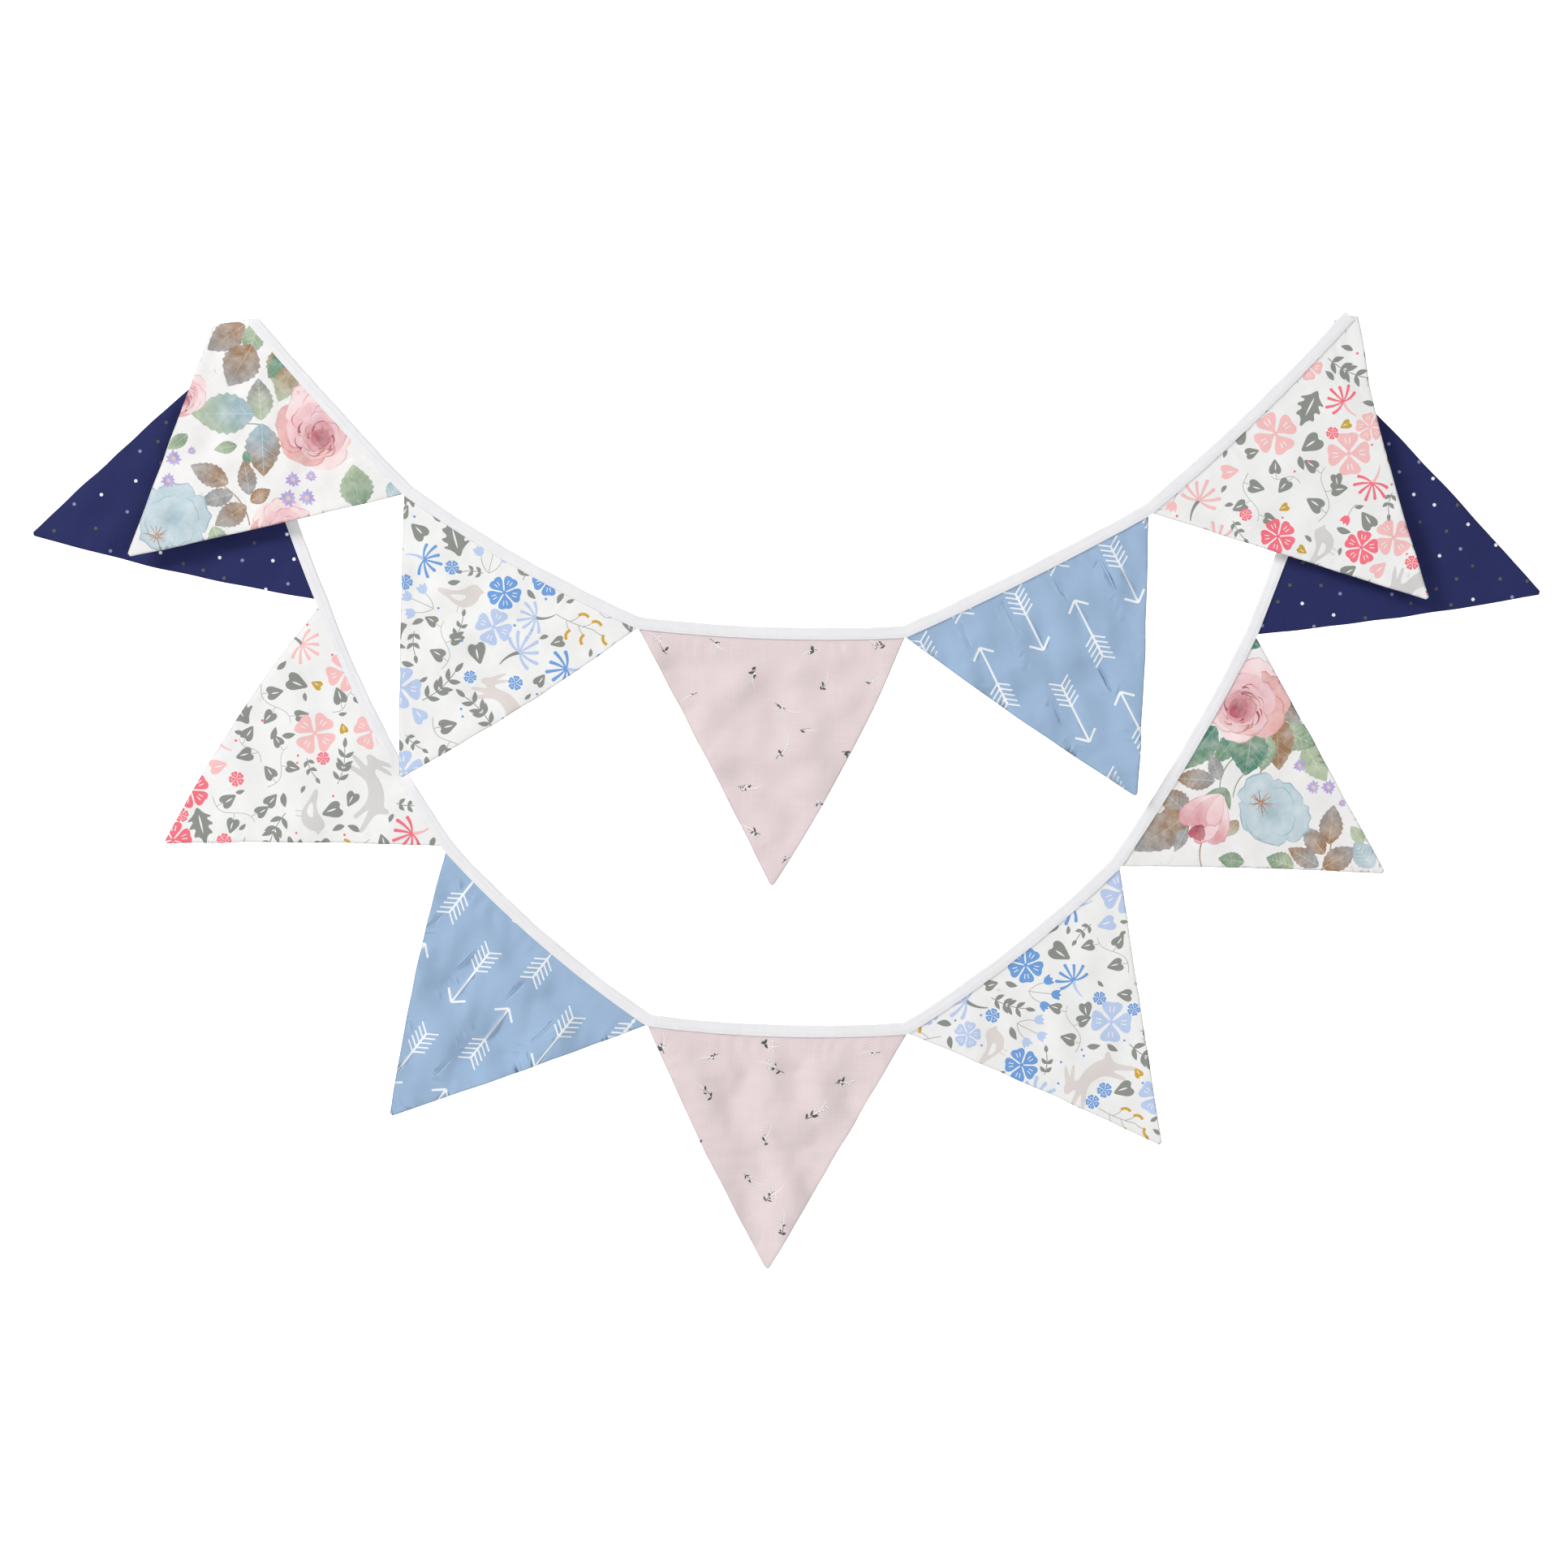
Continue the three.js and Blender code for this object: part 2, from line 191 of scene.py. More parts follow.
def placed(layer: Layer, flat: Points, forward: Points) -> Points:
    """Takes points of a swag's flat layout to space.

    Args:
        layer: the layer that the swag hangs in.
        flat: points of the flat layout.
        forward: how far each stands towards the front from its layer's middle surface.

    Returns:
        The points in metres.
    """
    forward = forward + sway(flat)
    if layer is Layer.REAR:
        return np.column_stack([flat[:, 0], LAYER_DEPTH - forward, flat[:, 1]]) * MM
    run, rise = flat @ TURN_ALONG, flat @ TURN_UP
    angle = np.clip(rise / TURN_LENGTH, 0.0, 1.0) * math.pi
    reach = LAYER_DEPTH + forward
    height = np.minimum(rise, 0.0) + np.sin(angle) * reach - np.maximum(rise - TURN_LENGTH, 0.0)
    upright = run[:, None] * TURN_ALONG + height[:, None] * TURN_UP
    return np.column_stack([upright[:, 0], -np.cos(angle) * reach, upright[:, 1]]) * MM


def past_turn(point: Points) -> Points:
    """A point of the front swag, laid flat, as it lies in the rear layer past the turn."""
    drop = point @ TURN_UP - TURN_LENGTH
    return TURN_ALONG * (point @ TURN_ALONG) - TURN_UP * drop


def mirrored(vector: Points) -> Points:
    """A direction of one layer as it lies in the other past the turn."""
    return vector - 2.0 * TURN_UP * (vector @ TURN_UP)


@dataclass(frozen=True)
class Ripples:
    """A smooth random surface: the sum of plane waves, about 1 high."""

    seed: int
    shortest: float
    longest: float
    count: int = 16

    def heights(self, points: Points) -> Points:
        """The surface's height at each point.

        Args:
            points: places on the cloth.

        Returns:
            One height for each point.
        """
        draw = random.Random(self.seed)
        total = np.zeros(len(points))
        for _ in range(self.count):
            wave = direction(draw.uniform(0.0, 360.0)) * math.tau
            wave /= draw.uniform(self.shortest, self.longest)
            total += np.cos(points @ wave + draw.uniform(0.0, math.tau))
        return total / math.sqrt(self.count / 2)


@dataclass(frozen=True)
class Crease:
    """A crease in a pennant: its middle from the base's left end, slope, length, width, rise."""

    along: float
    down: float
    turn: float
    length: float
    width: float
    rise: float

    def heights(self, points: Points) -> Points:
        """How far the crease lifts the cloth at each (along, down) point.

        Args:
            points: (along, down) places on the cloth.

        Returns:
            One height for each point.
        """
        line = direction(-self.turn)
        across = np.column_stack([points[:, 0] - self.along, self.down - points[:, 1]])
        ahead = np.abs(across @ line) / (self.length / 2)
        aside = across @ outward_of(line) / self.width
        return self.rise * np.exp(-aside * aside) * smooth_step(1.25 - ahead)


class RoseLayout(Enum):
    """The two stretches of the rose print that a pennant can be cut from."""

    LEAVES = "leaves"
    BUD = "bud"


class PrintName(Enum):
    """The six printed cloths, by name."""

    ROSE = "rose_floral"
    BLUE_FLORAL = "blue_floral"
    PINK_SPRIG = "pink_sprig"
    ARROWS = "blue_arrows"
    CORAL_FLORAL = "coral_floral"
    NAVY_DOTS = "navy_dots"


# --- Motifs ---------------------------------------------------------------------------------


def linear(colour: Rgb) -> Points:
    """A colour of 0 to 255 as the renderer's linear values."""
    value = np.array(colour, float) / 255.0
    return np.where(value <= 0.04045, value / 12.92, ((value + 0.055) / 1.055) ** 2.4)


@dataclass(frozen=True)
class Shape:
    """One printed shape: an outline filled with a colour, which may fade to a second one."""

    outline: Points
    tone: Rgb
    rim: Optional[Rgb] = None
    heart: tuple[float, float] = (0.0, 0.0)
    reach: float = 1.0

    def moved(self, x: float, y: float, turn: float = 0.0, scale: float = 1.0) -> "Shape":
        """The shape, scaled and turned about its origin, and then moved.

        Args:
            x: how far it moves along.
            y: how far it moves up.
            turn: in degrees.
            scale: of its size.

        Returns:
            The new shape.
        """
        ahead, aside = direction(turn) * scale, outward_of(direction(turn)) * scale
        matrix = np.array([ahead, aside])
        place = np.array([x, y])
        heart = np.array(self.heart) @ matrix + place
        return replace(
            self,
            outline=self.outline @ matrix + place,
            heart=(float(heart[0]), float(heart[1])),
            reach=self.reach * scale,
        )

    def flipped(self, width: float) -> "Shape":
        """The shape on a panel of that width seen from its other face.

        Args:
            width: the panel's width.

        Returns:
            The new shape.
        """
        outline = self.outline * np.array([-1.0, 1.0]) + np.array([width, 0.0])
        return replace(self, outline=outline, heart=(width - self.heart[0], self.heart[1]))

    def colours(self, points: Points) -> Points:
        """The shape's colour at each point.

        Args:
            points: places on the cloth.

        Returns:
            Red, green and blue for each point.
        """
        tone = np.broadcast_to(linear(self.tone), (*points.shape[:-1], 3))
        if self.rim is None:
            return tone
        away = np.linalg.norm(points - np.array(self.heart), axis=-1) / self.reach
        share = smooth_step(away)[..., None]
        return tone * (1.0 - share) + linear(self.rim) * share


Motif = list[Shape]


def moved(motif: Iterable[Shape], x: float, y: float, turn: float = 0.0, scale: float = 1.0) -> Motif:
    """All shapes of a motif, scaled, turned and moved together."""
    return [shape.moved(x, y, turn, scale) for shape in motif]


def turned(motif: Iterable[Shape], turn: float) -> Motif:
    """All shapes of a motif, turned about the origin."""
    return moved(motif, 0.0, 0.0, turn)


def softened(corners: Path, rounds: int = 2) -> Points:
    """A closed outline with its corners cut round.

    Args:
        corners: the sharp outline.
        rounds: how often its corners are cut.

    Returns:
        The rounder outline.
    """
    points = np.array(corners, float)
    for _ in range(rounds):
        after = np.roll(points, -1, axis=0)
        points = np.stack([points * 0.75 + after * 0.25, points * 0.25 + after * 0.75], 1).reshape(-1, 2)
    return points


def oval(radius_x: float, radius_y: float, count: int = 12) -> Points:
    """The outline of an oval about the origin."""
    angle = np.arange(count) * math.tau / count
    return np.column_stack([np.cos(angle) * radius_x, np.sin(angle) * radius_y])


def leaf_outline(length: float, width: float, bend: float = 0.0, teeth: int = 0) -> Points:
    """A leaf from the origin along +x.

    Args:
        length: from the stalk to the tip.
        width: at its widest.
        bend: how far its middle stands aside.
        teeth: the notches along each edge, or none.

    Returns:
        The closed outline.
    """
    steps = max(8, teeth * 2)
    share = np.linspace(0.0, 1.0, steps + 1)
    half = width / 2 * np.sin(math.pi * share**0.85) ** 0.9
    if teeth:
        half = half * (1.0 + 0.13 * (np.arange(steps + 1) % 2))
    middle = bend * np.sin(math.pi * share)
    upper = np.column_stack([share * length, middle + half])
    lower = np.column_stack([share * length, middle - half])[-2:0:-1]
    return np.vstack([upper, lower])


def stroke_outline(path: Path, width: float, end: float = 1.0) -> Points:
    """A line of a given width along a path.

    Args:
        path: the points that it follows.
        width: at its start.
        end: its width at the far end, as a share of the first.

    Returns:
        The closed outline.
    """
    line = np.array(path, float)
    ahead = np.gradient(line, axis=0)
    ahead /= np.linalg.norm(ahead, axis=1)[:, None]
    side = np.column_stack([-ahead[:, 1], ahead[:, 0]])
    half = (width / 2 * np.linspace(1.0, end, len(line)))[:, None]
    return np.vstack([line + side * half, (line - side * half)[::-1]])


def stroke(tone: Rgb, path: Path, width: float, end: float = 1.0) -> Shape:
    """A line of one colour along a path."""
    return Shape(stroke_outline(path, width, end), tone)


def blade(tone: Rgb, length: float, width: float, bend: float = 0.0) -> Shape:
    """A plain leaf of one colour."""
    return Shape(leaf_outline(length, width, bend), tone)


def dot(tone: Rgb, radius_x: float, radius_y: float, count: int = 8) -> Shape:
    """An oval of one colour."""
    return Shape(oval(radius_x, radius_y, count), tone)


def curve(length: float, bend: float, steps: int = 8) -> Points:
    """A bowed path from the origin along +x."""
    share = np.linspace(0.0, 1.0, steps + 1)
    return np.column_stack([share * length, 4.0 * bend * share * (1.0 - share)])


def petal_outline(length: float, width: float, wave: float = 0.0, seed: int = 0) -> Points:
    """A petal from the origin along +x, widest near its round end, with an uneven edge.

    Args:
        length: from the foot to the round end.
        width: at its widest.
        wave: how uneven its edge is.
        seed: for the uneven edge.

    Returns:
        The closed outline.
    """
    corners = [(0, 0.08), (0.22, 0.3), (0.55, 0.5), (0.86, 0.44), (1.0, 0.17)]
    corners += [(x, -y) for x, y in reversed(corners)]
    points = softened(corners, 1) * np.array([length, width])
    if wave:
        draw = random.Random(seed)
        points = points * np.array([[1.0 + wave * draw.uniform(-1, 1)] for _ in points])
    return points


HEART = [
    (0.1, 0.0), (-0.05, 0.2), (0.05, 0.42), (0.34, 0.46), (0.7, 0.22), (1.0, 0.02), (0.7, -0.2), (0.34, -0.44),
    (0.05, -0.42), (-0.05, -0.2),
]
CUP = [
    (0, -0.1), (0.25, -0.42), (1.0, -0.5), (0.72, -0.18), (1.05, 0), (0.72, 0.18), (1.0, 0.5), (0.25, 0.42),
    (0, 0.1),
]
JAGGED = [
    (0.0, 0.03), (0.16, 0.13), (0.3, 0.36), (0.3, 0.15), (0.5, 0.36), (0.5, 0.14), (0.72, 0.28), (0.72, 0.1),
]
JAGGED += [(1.0, 0.02), *[(x, -y * 0.92) for x, y in reversed(JAGGED)]]
HARE = [
    (1.0, 0.5), (0.95, 0.57), (0.88, 0.6), (0.78, 0.74), (0.68, 0.82), (0.7, 0.75), (0.79, 0.6),
    (0.68, 0.7), (0.58, 0.74), (0.61, 0.68), (0.77, 0.54), (0.7, 0.5), (0.54, 0.55), (0.32, 0.53),
    (0.19, 0.46), (0.12, 0.53), (0.06, 0.5), (0.1, 0.42), (0.13, 0.32), (0.03, 0.18), (-0.07, 0.05),
    (-0.03, 0.0), (0.03, 0.07), (0.14, 0.18), (0.24, 0.26), (0.19, 0.12), (0.15, 0.02), (0.21, 0.0),
    (0.25, 0.1), (0.35, 0.27), (0.5, 0.34), (0.66, 0.34), (0.82, 0.22), (0.95, 0.12), (0.99, 0.15),
    (0.88, 0.26), (0.8, 0.34), (0.93, 0.3), (1.05, 0.26), (1.06, 0.31), (0.94, 0.37), (0.83, 0.42),
    (0.88, 0.46), (0.96, 0.45),
]
ROBIN = [
    (-0.07, 0.5), (0.03, 0.57), (0.14, 0.67), (0.28, 0.65), (0.42, 0.53), (0.62, 0.46), (0.98, 0.52),
    (1.04, 0.44), (0.76, 0.3), (0.58, 0.16), (0.38, 0.1), (0.18, 0.17), (0.07, 0.32), (0.04, 0.45),
]
WING = [(0.34, 0.4), (0.5, 0.4), (0.76, 0.38), (0.56, 0.25), (0.4, 0.27)]


def heart_leaf(length: float, tone: Rgb, slit: Rgb) -> Motif:
    """A heart-shaped leaf with a light slit."""
    body = Shape(softened(HEART) * np.array([length, length * 0.9]), tone)
    return [body, blade(slit, length * 0.5, length * 0.08).moved(length * 0.22, length * 0.03, 3)]


def vine(length: float, tone: Rgb, slit: Rgb, stem: Rgb, leaves: int = 3) -> Motif:
    """A thin winding stem with heart-shaped leaves on both sides.

    Args:
        length: of the stem.
        tone: the leaves' colour.
        slit: the colour of its light lines.
        stem: the stem's colour.
        leaves: how many it has.

    Returns:
        Its shapes, lowest first.
    """
    share = np.linspace(0.0, 1.0, 17)
    path = np.column_stack([share * length, 0.13 * length * np.sin(share * 5.6)])
    motif = [stroke(stem, path, 0.5, 0.7)]
    for index in range(leaves):
        x, y = path[round(16 * (index + 0.6) / leaves)]
        side = 1 if index % 2 else -1
        parts = [stroke(stem, curve(5.0, 0.7 * side, 4), 0.45)]
        parts += moved(heart_leaf(13.5 - index, tone, slit), 4.4, 0.0, 8 * side)
        motif += moved(parts, x, y, 62 * side)
    return motif


def blossom(radius: float, tone: Rgb, slit: Rgb, petals: int = 5) -> Motif:
    """A flat open flower of petals that stand apart, each with two light veins.

    Args:
        radius: of the flower.
        tone: its colour.
        slit: the colour of its light lines.
        petals: how many it has.

    Returns:
        Its shapes, lowest first.
    """
    spread = 2.0 * math.sin(math.pi / petals) * 0.82
    corners = [(0.1, 0.04), (0.3, 0.16), (0.62, 0.42), (0.9, 0.46), (1.02, 0.22), (0.95, 0.0)]
    corners += [(x, -y) for x, y in reversed(corners[:-1])]
    petal = softened(corners) * np.array([radius, radius * spread])
    motif: Motif = []
    for index in range(petals):
        parts = [Shape(petal, tone)]
        for turn in (8, -9):
            vein = stroke(slit, [(radius * 0.5, 0.0), (radius * 0.78, 0.0)], radius * 0.05)
            parts += turned([vein], turn)
        motif += turned(parts, 360.0 * index / petals + 9.0)
    return motif + [dot(tone, radius * 0.12, radius * 0.12)]


def fan(radius: float, tone: Rgb, pale: Rgb) -> Motif:
    """A fan of bowed rays with round ends on a pale tapering stalk.

    Args:
        radius: of the rays.
        tone: the rays' colour.
        pale: the stalk's colour.

    Returns:
        Its shapes, lowest first.
    """
    motif: Motif = [stroke(pale, curve(radius * 1.15, 1.6), radius * 0.2, 0.25).moved(0, 0, 180)]
    for index in range(7):
        turn = -96 + 32 * index
        long = radius * (1.0 if index % 2 else 0.86)
        ray = stroke(tone, curve(long, 0.05 * turn * radius / 60, 6), radius * 0.07, 2.6)
        motif += turned([ray, dot(tone, radius * 0.1, radius * 0.1).moved(long, 0)], turn)
    return motif


def bell(size: float, tone: Rgb, stem: Rgb) -> Motif:
    """A small cup with three points, on a stem."""
    stalk = stroke(stem, curve(size * 1.5, 0.8), 0.5).moved(-size * 1.45, 0)
    return [stalk, Shape(softened(CUP, 1) * size, tone)]


def bells(size: float, tone: Rgb, stem: Rgb) -> Motif:
    """Three small cups on a forked stem.

    Args:
        size: of one cup.
        tone: its colour.
        stem: the stalk's colour.

    Returns:
        Its shapes, lowest first.
    """
    motif: Motif = []
    for turn, reach in ((-34, 1.7), (2, 2.2), (38, 1.6)):
        stalk = stroke(stem, curve(size * reach, 0.02 * turn * size / 4, 5), 0.5)
        motif += turned([stalk, *moved(bell(size, tone, stem)[1:], size * reach, 0)], turn)
    return motif


def twig(length: float, tone: Rgb, pairs: int = 3, plump: float = 0.42, reach: float = 0.36) -> Motif:
    """A bowed stem with pairs of leaves and one at its tip.

    Args:
        length: of the stem.
        tone: its colour.
        pairs: how many pairs of leaves.
        plump: a leaf's width, as a share of its length.
        reach: a leaf's length, as a share of the stem's.

    Returns:
        Its shapes, lowest first.
    """
    path = curve(length, length * 0.07)
    motif = [stroke(tone, path, 0.6)]
    leaf = length * reach
    for index in range(pairs):
        x, y = path[1 + round(index * 6.4 / pairs)]
        for side in (-1, 1):
            motif.append(blade(tone, leaf, leaf * plump, side * 0.4).moved(x, y, side * 47))
    return [*motif, blade(tone, leaf, leaf * plump).moved(*path[-1], -8)]


def jagged_leaf(length: float, tone: Rgb, slit: Rgb) -> Motif:
    """A leaf with four long points a side and a light slit."""
    light = blade(slit, length * 0.5, length * 0.045).moved(length * 0.18, 0, 1)
    return [Shape(softened(JAGGED, 1) * length, tone), light]


def berries(size: float, tone: Rgb, stem: Rgb) -> Motif:
    """A forked stalk with a little bent pod at the end of each branch.

    Args:
        size: of the stalk.
        tone: the pods' colour.
        stem: the stalk's colour.

    Returns:
        Its shapes, lowest first.
    """
    motif: Motif = [stroke(stem, curve(size, 1.2), 0.5)]
    for index, (start, turn) in enumerate(((0.3, 52), (0.38, -50), (0.62, 42), (0.7, -40), (1.0, 10))):
        pod = stroke(tone, curve(size * 0.25, 1.7 * (-1) ** index, 6), 2.1)
        parts = [stroke(stem, curve(size * 0.26, 0.6, 5), 0.5), pod.moved(size * 0.26, -0.8, 38)]
        motif += moved(parts, size * start, 4.0 * 1.2 * start * (1.0 - start), turn)
    return motif


def hare(length: float, tone: Rgb) -> Motif:
    """A leaping hare with long ears and thin legs, seen from its side."""
    return [Shape((softened(HARE) - np.array([0.5, 0.4])) * length, tone)]


def robin(length: float, tone: Rgb, slit: Rgb) -> Motif:
    """A small plump bird, seen from its side.

    Args:
        length: from beak to tail.
        tone: its colour.
        slit: the wing's colour.

    Returns:
        Its shapes, lowest first.
    """
    shift = np.array([0.5, 0.35])
    leg = stroke(tone, [(0, 0), (length * 0.03, -length * 0.16)], 0.8)
    body = Shape((softened(ROBIN) - shift) * length, tone)
    legs = [leg.moved(-length * 0.12, -length * 0.2), leg.moved(0.0, -length * 0.2)]
    return [body, *legs, Shape((softened(WING) - shift) * length, slit)]


def arrow(length: float, tone: Rgb) -> Motif:
    """An arrow along +x about its middle, with an open head and five barbs a side.

    Args:
        length: from end to end.
        tone: its colour.

    Returns:
        Its shapes, lowest first.
    """
    half, line = length / 2, 1.65
    motif = [stroke(tone, [(-half, 0), (half - 0.5, 0)], line)]
    for side in (-1, 1):
        motif.append(stroke(tone, [(half, 0), (half - 7.2, side * 8.3)], line * 1.05))
        for index in range(5):
            x = -half + 17.2 - index * 4.3
            motif.append(stroke(tone, [(x, 0), (x - 5.4, side * 8.0)], line * 0.72))
    return motif


def sprig(draw: random.Random, dark: Rgb, light: Rgb) -> Motif:
    """A tiny twig with dark leaves and light berries.

    Args:
        draw: the source of its random sizes.
        dark: the leaves' colour.
        light: the berries' colour.

    Returns:
        Its shapes, lowest first.
    """
    length = draw.uniform(6.5, 11.0)
    motif = [stroke(dark, curve(length, draw.uniform(-1.2, 1.2), 5), 0.55, 0.5)]
    for index in range(draw.randint(2, 5)):
        leaf = blade(dark, draw.uniform(2.2, 4.4), draw.uniform(1.1, 2.0))
        turn = draw.choice((-1, 1)) * draw.uniform(25, 75)
        motif.append(leaf.moved(length * draw.uniform(0.0, 0.75), 0, turn))
    for _ in range(draw.randint(2, 7)):
        x, y = length * draw.uniform(0.3, 1.6), draw.uniform(-3.4, 3.4)
        motif += moved([dot(dark, 1.0, 0.85, 7), dot(light, 0.85, 0.7, 7)], x, y)
    hair = stroke(light, curve(length * 1.4, 1.4, 5), 0.5, 0.4)
    return [*motif, hair.moved(length * 0.6, 0, draw.uniform(-30, 30))]


@dataclass(frozen=True)
class RoseInks:
    """The soft colours of the rose print."""

    cream: Rgb = (247, 222, 222)
    pale: Rgb = (238, 196, 200)
    pink: Rgb = (220, 154, 163)
    deep: Rgb = (190, 98, 112)
    wine: Rgb = (160, 62, 80)
    rust: Rgb = (196, 120, 100)
    coral: Rgb = (232, 176, 172)
    sky: Rgb = (190, 209, 217)
    haze: Rgb = (150, 178, 190)
    bark: Rgb = (158, 122, 88)
    ash: Rgb = (150, 149, 150)
    moss: Rgb = (120, 150, 120)
    sage: Rgb = (170, 186, 154)
    pine: Rgb = (66, 130, 110)
    lilac: Rgb = (178, 160, 216)
    straw: Rgb = (214, 200, 170)


INKS = RoseInks()

# A petal's edge is uneven by this share, and shows round its fill as a darker line
PETAL_WAVE = 0.03
PETAL_FILL = np.array([0.97, 0.95])
BUD_FILL = np.array([0.96, 0.93])
POPPY_FILL = np.array([0.96, 0.96])

# The two outmost rings of a rose have coral petals on the side where this sine is passed
CORAL_RINGS = 2
CORAL_SIDE = 0.45


def rose(radius: float, seed: int, heart: tuple[float, float] = (0.16, 0.1)) -> Motif:
    """An open rose: rings of overlapping petals, deeper towards a heart that sits off centre.

    Args:
        radius: of the whole flower.
        seed: for its petals' own shapes.
        heart: where its inmost ring sits, as shares of the radius.

    Returns:
        The shapes, from the outmost petals in.
    """
    draw = random.Random(seed)
    motif: Motif = []
    rings = [
        (6, 1.0, 0.95, INKS.pale, INKS.cream, INKS.pink), (6, 0.86, 0.86, INKS.pink, INKS.cream, INKS.pink),
        (5, 0.68, 0.78, INKS.pink, INKS.pale, INKS.deep), (5, 0.5, 0.6, INKS.deep, INKS.pale, INKS.wine),
        (4, 0.36, 0.5, INKS.deep, INKS.pink, INKS.wine), (4, 0.22, 0.32, INKS.wine, INKS.deep, INKS.wine),
    ]
    for step, (count, reach, width, tone, rim, shade) in enumerate(rings):
        start = draw.uniform(0, 360)
        shift = radius * step / (len(rings) - 1)
        for index in range(count):
            turn = start + 360 * index / count + draw.uniform(-10, 10)
            long = radius * reach * draw.uniform(0.9, 1.06)
            edge = petal_outline(long, radius * width, PETAL_WAVE, draw.randrange(999))
            coral = step < CORAL_RINGS and math.sin(math.radians(turn)) > CORAL_SIDE
            body, tip, under = (INKS.pink, INKS.coral, INKS.rust) if coral else (tone, rim, shade)
            fill = Shape(edge * PETAL_FILL, body, tip, (0.0, 0.0), long * (1.2 if coral else 1.0))
            shadow = Shape(edge, under, tip, (long * 0.9, -long * 0.6), long * 0.75)
            motif += moved([shadow, fill], shift * heart[0], shift * heart[1], turn)
    for index in range(13):
        turn, away = draw.uniform(0, 360), radius * draw.uniform(0.16, 0.5)
        long = radius * draw.uniform(0.12, 0.34)
        tone = INKS.rust if index % 2 else INKS.wine
        line = stroke(tone, curve(long, -long * 0.22, 5), radius * 0.055, 0.15)
        motif.append(line.moved(*(radius * np.array(heart) + away * direction(turn)), turn + 90))
    return motif


def bud(radius: float, seed: int) -> Motif:
    """A rose half open, pointing along +x, with green sepals.

    Args:
        radius: of half its width.
        seed: for its petals' own shapes.

    Returns:
        Its shapes, lowest first.
    """
    draw = random.Random(seed)
    motif: Motif = []
    for turn in (-30, 0, 27):
        motif.append(blade(INKS.moss, radius * 0.95, radius * 0.26).moved(-radius * 1.3, 0, turn * 1.4))
    petals = (
        (-24, 1.0, INKS.pink, INKS.cream), (25, 0.96, INKS.pink, INKS.cream), (-5, 1.06, INKS.pale, INKS.cream),
        (10, 0.86, INKS.pink, INKS.pale), (-13, 0.66, INKS.pale, INKS.cream),
    )
    for turn, reach, tone, rim in petals:
        edge = petal_outline(radius * 2.1 * reach, radius * 1.1 * reach, PETAL_WAVE, draw.randrange(999))
        fill = Shape(edge * BUD_FILL, tone, rim, (radius * 2.0 * reach, 0.0), radius * 1.5)
        motif += moved([Shape(edge, INKS.pink), fill], -radius * 0.95, 0, turn)
    for turn in (-16, 14):
        curl = petal_outline(radius * 0.7, radius * 0.5, 0.05, draw.randrange(999))
        motif += moved([Shape(curl, INKS.wine, INKS.deep, (0.0, 0.0), radius * 0.7)], radius * 0.55, 0, turn)
    return motif


def poppy(radius: float, seed: int, heart: tuple[float, float] = (0.0, 0.0)) -> Motif:
    """A wide pale blue flower with brown stamens.

    Args:
        radius: of the flower.
        seed: for its petals' own shapes.
        heart: where its stamens sit, as shares of the radius.

    Returns:
        Its shapes, lowest first.
    """
    draw = random.Random(seed)
    motif: Motif = []
    for reach, count in ((1.0, 5), (0.74, 4)):
        start = draw.uniform(0, 360)
        for index in range(count):
            long = radius * reach * draw.uniform(0.84, 1.12)
            edge = petal_outline(long, radius * reach * 1.1, 0.06, draw.randrange(999))
            fill = Shape(edge * POPPY_FILL, INKS.haze, INKS.sky, (0.0, 0.0), radius * 0.7 * reach)
            rim = Shape(edge, INKS.haze, INKS.sky, (long, 0.0), long)
            motif += turned([rim, fill], start + 360 * index / count)
    for index in range(12):
        tone = INKS.bark if index % 3 else INKS.rust
        stamen = stroke(tone, [(0.5, 0), (radius * draw.uniform(0.2, 0.42), 0)], 1.1, 0.4)
        turn = index * 30 + draw.uniform(-14, 14)
        motif.append(stamen.moved(radius * heart[0], radius * heart[1], turn))
    return motif


def rose_leaf(length: float, tone: Rgb, rim: Rgb, plump: float = 0.58) -> Motif:
    """A toothed leaf that fades from one colour to another, with a midrib and side veins.

    Args:
        length: from the stalk to the tip.
        tone: its colour by the stalk.
        rim: its colour at the tip.
        plump: its width, as a share of its length.

    Returns:
        Its shapes, lowest first.
    """
    width = length * plump
    light = (round(tone[0] * 0.6 + 92), round(tone[1] * 0.6 + 94), round(tone[2] * 0.6 + 88))
    soft = (round(tone[0] * 0.8 + 46), round(tone[1] * 0.8 + 47), round(tone[2] * 0.8 + 44))
    motif = [Shape(leaf_outline(length, width, 0.0, 8), tone, rim, (length * 0.1, width * 0.2), length * 0.9)]
    for index in range(5):
        x = length * (0.14 + 0.15 * index)
        reach = width * 0.4 * math.sin(math.pi * (x / length + 0.12) ** 0.9)
        for side in (-1, 1):
            motif.append(stroke(soft, [(x, 0), (x + reach * 0.8, side * reach)], 0.75, 0.3))
    return motif + [stroke(light, [(0, 0), (length * 0.92, 0)], 0.8, 0.4)]


def leaves(rows: Iterable[tuple]) -> Motif:
    """Leaves from rows of (x, y, turn, length, plump, tone, rim)."""
    laid = [moved(rose_leaf(length, *tones, plump), x, y, turn) for x, y, turn, length, plump, *tones in rows]
    return [shape for leaf in laid for shape in leaf]


def stalks(rows: Iterable[tuple]) -> Motif:
    """Bowed stalks from rows of (x, y, turn, length, bend, tone)."""
    return [stroke(tone, curve(*bow), 1.1, 0.7).moved(x, y, turn) for x, y, turn, *bow, tone in rows]


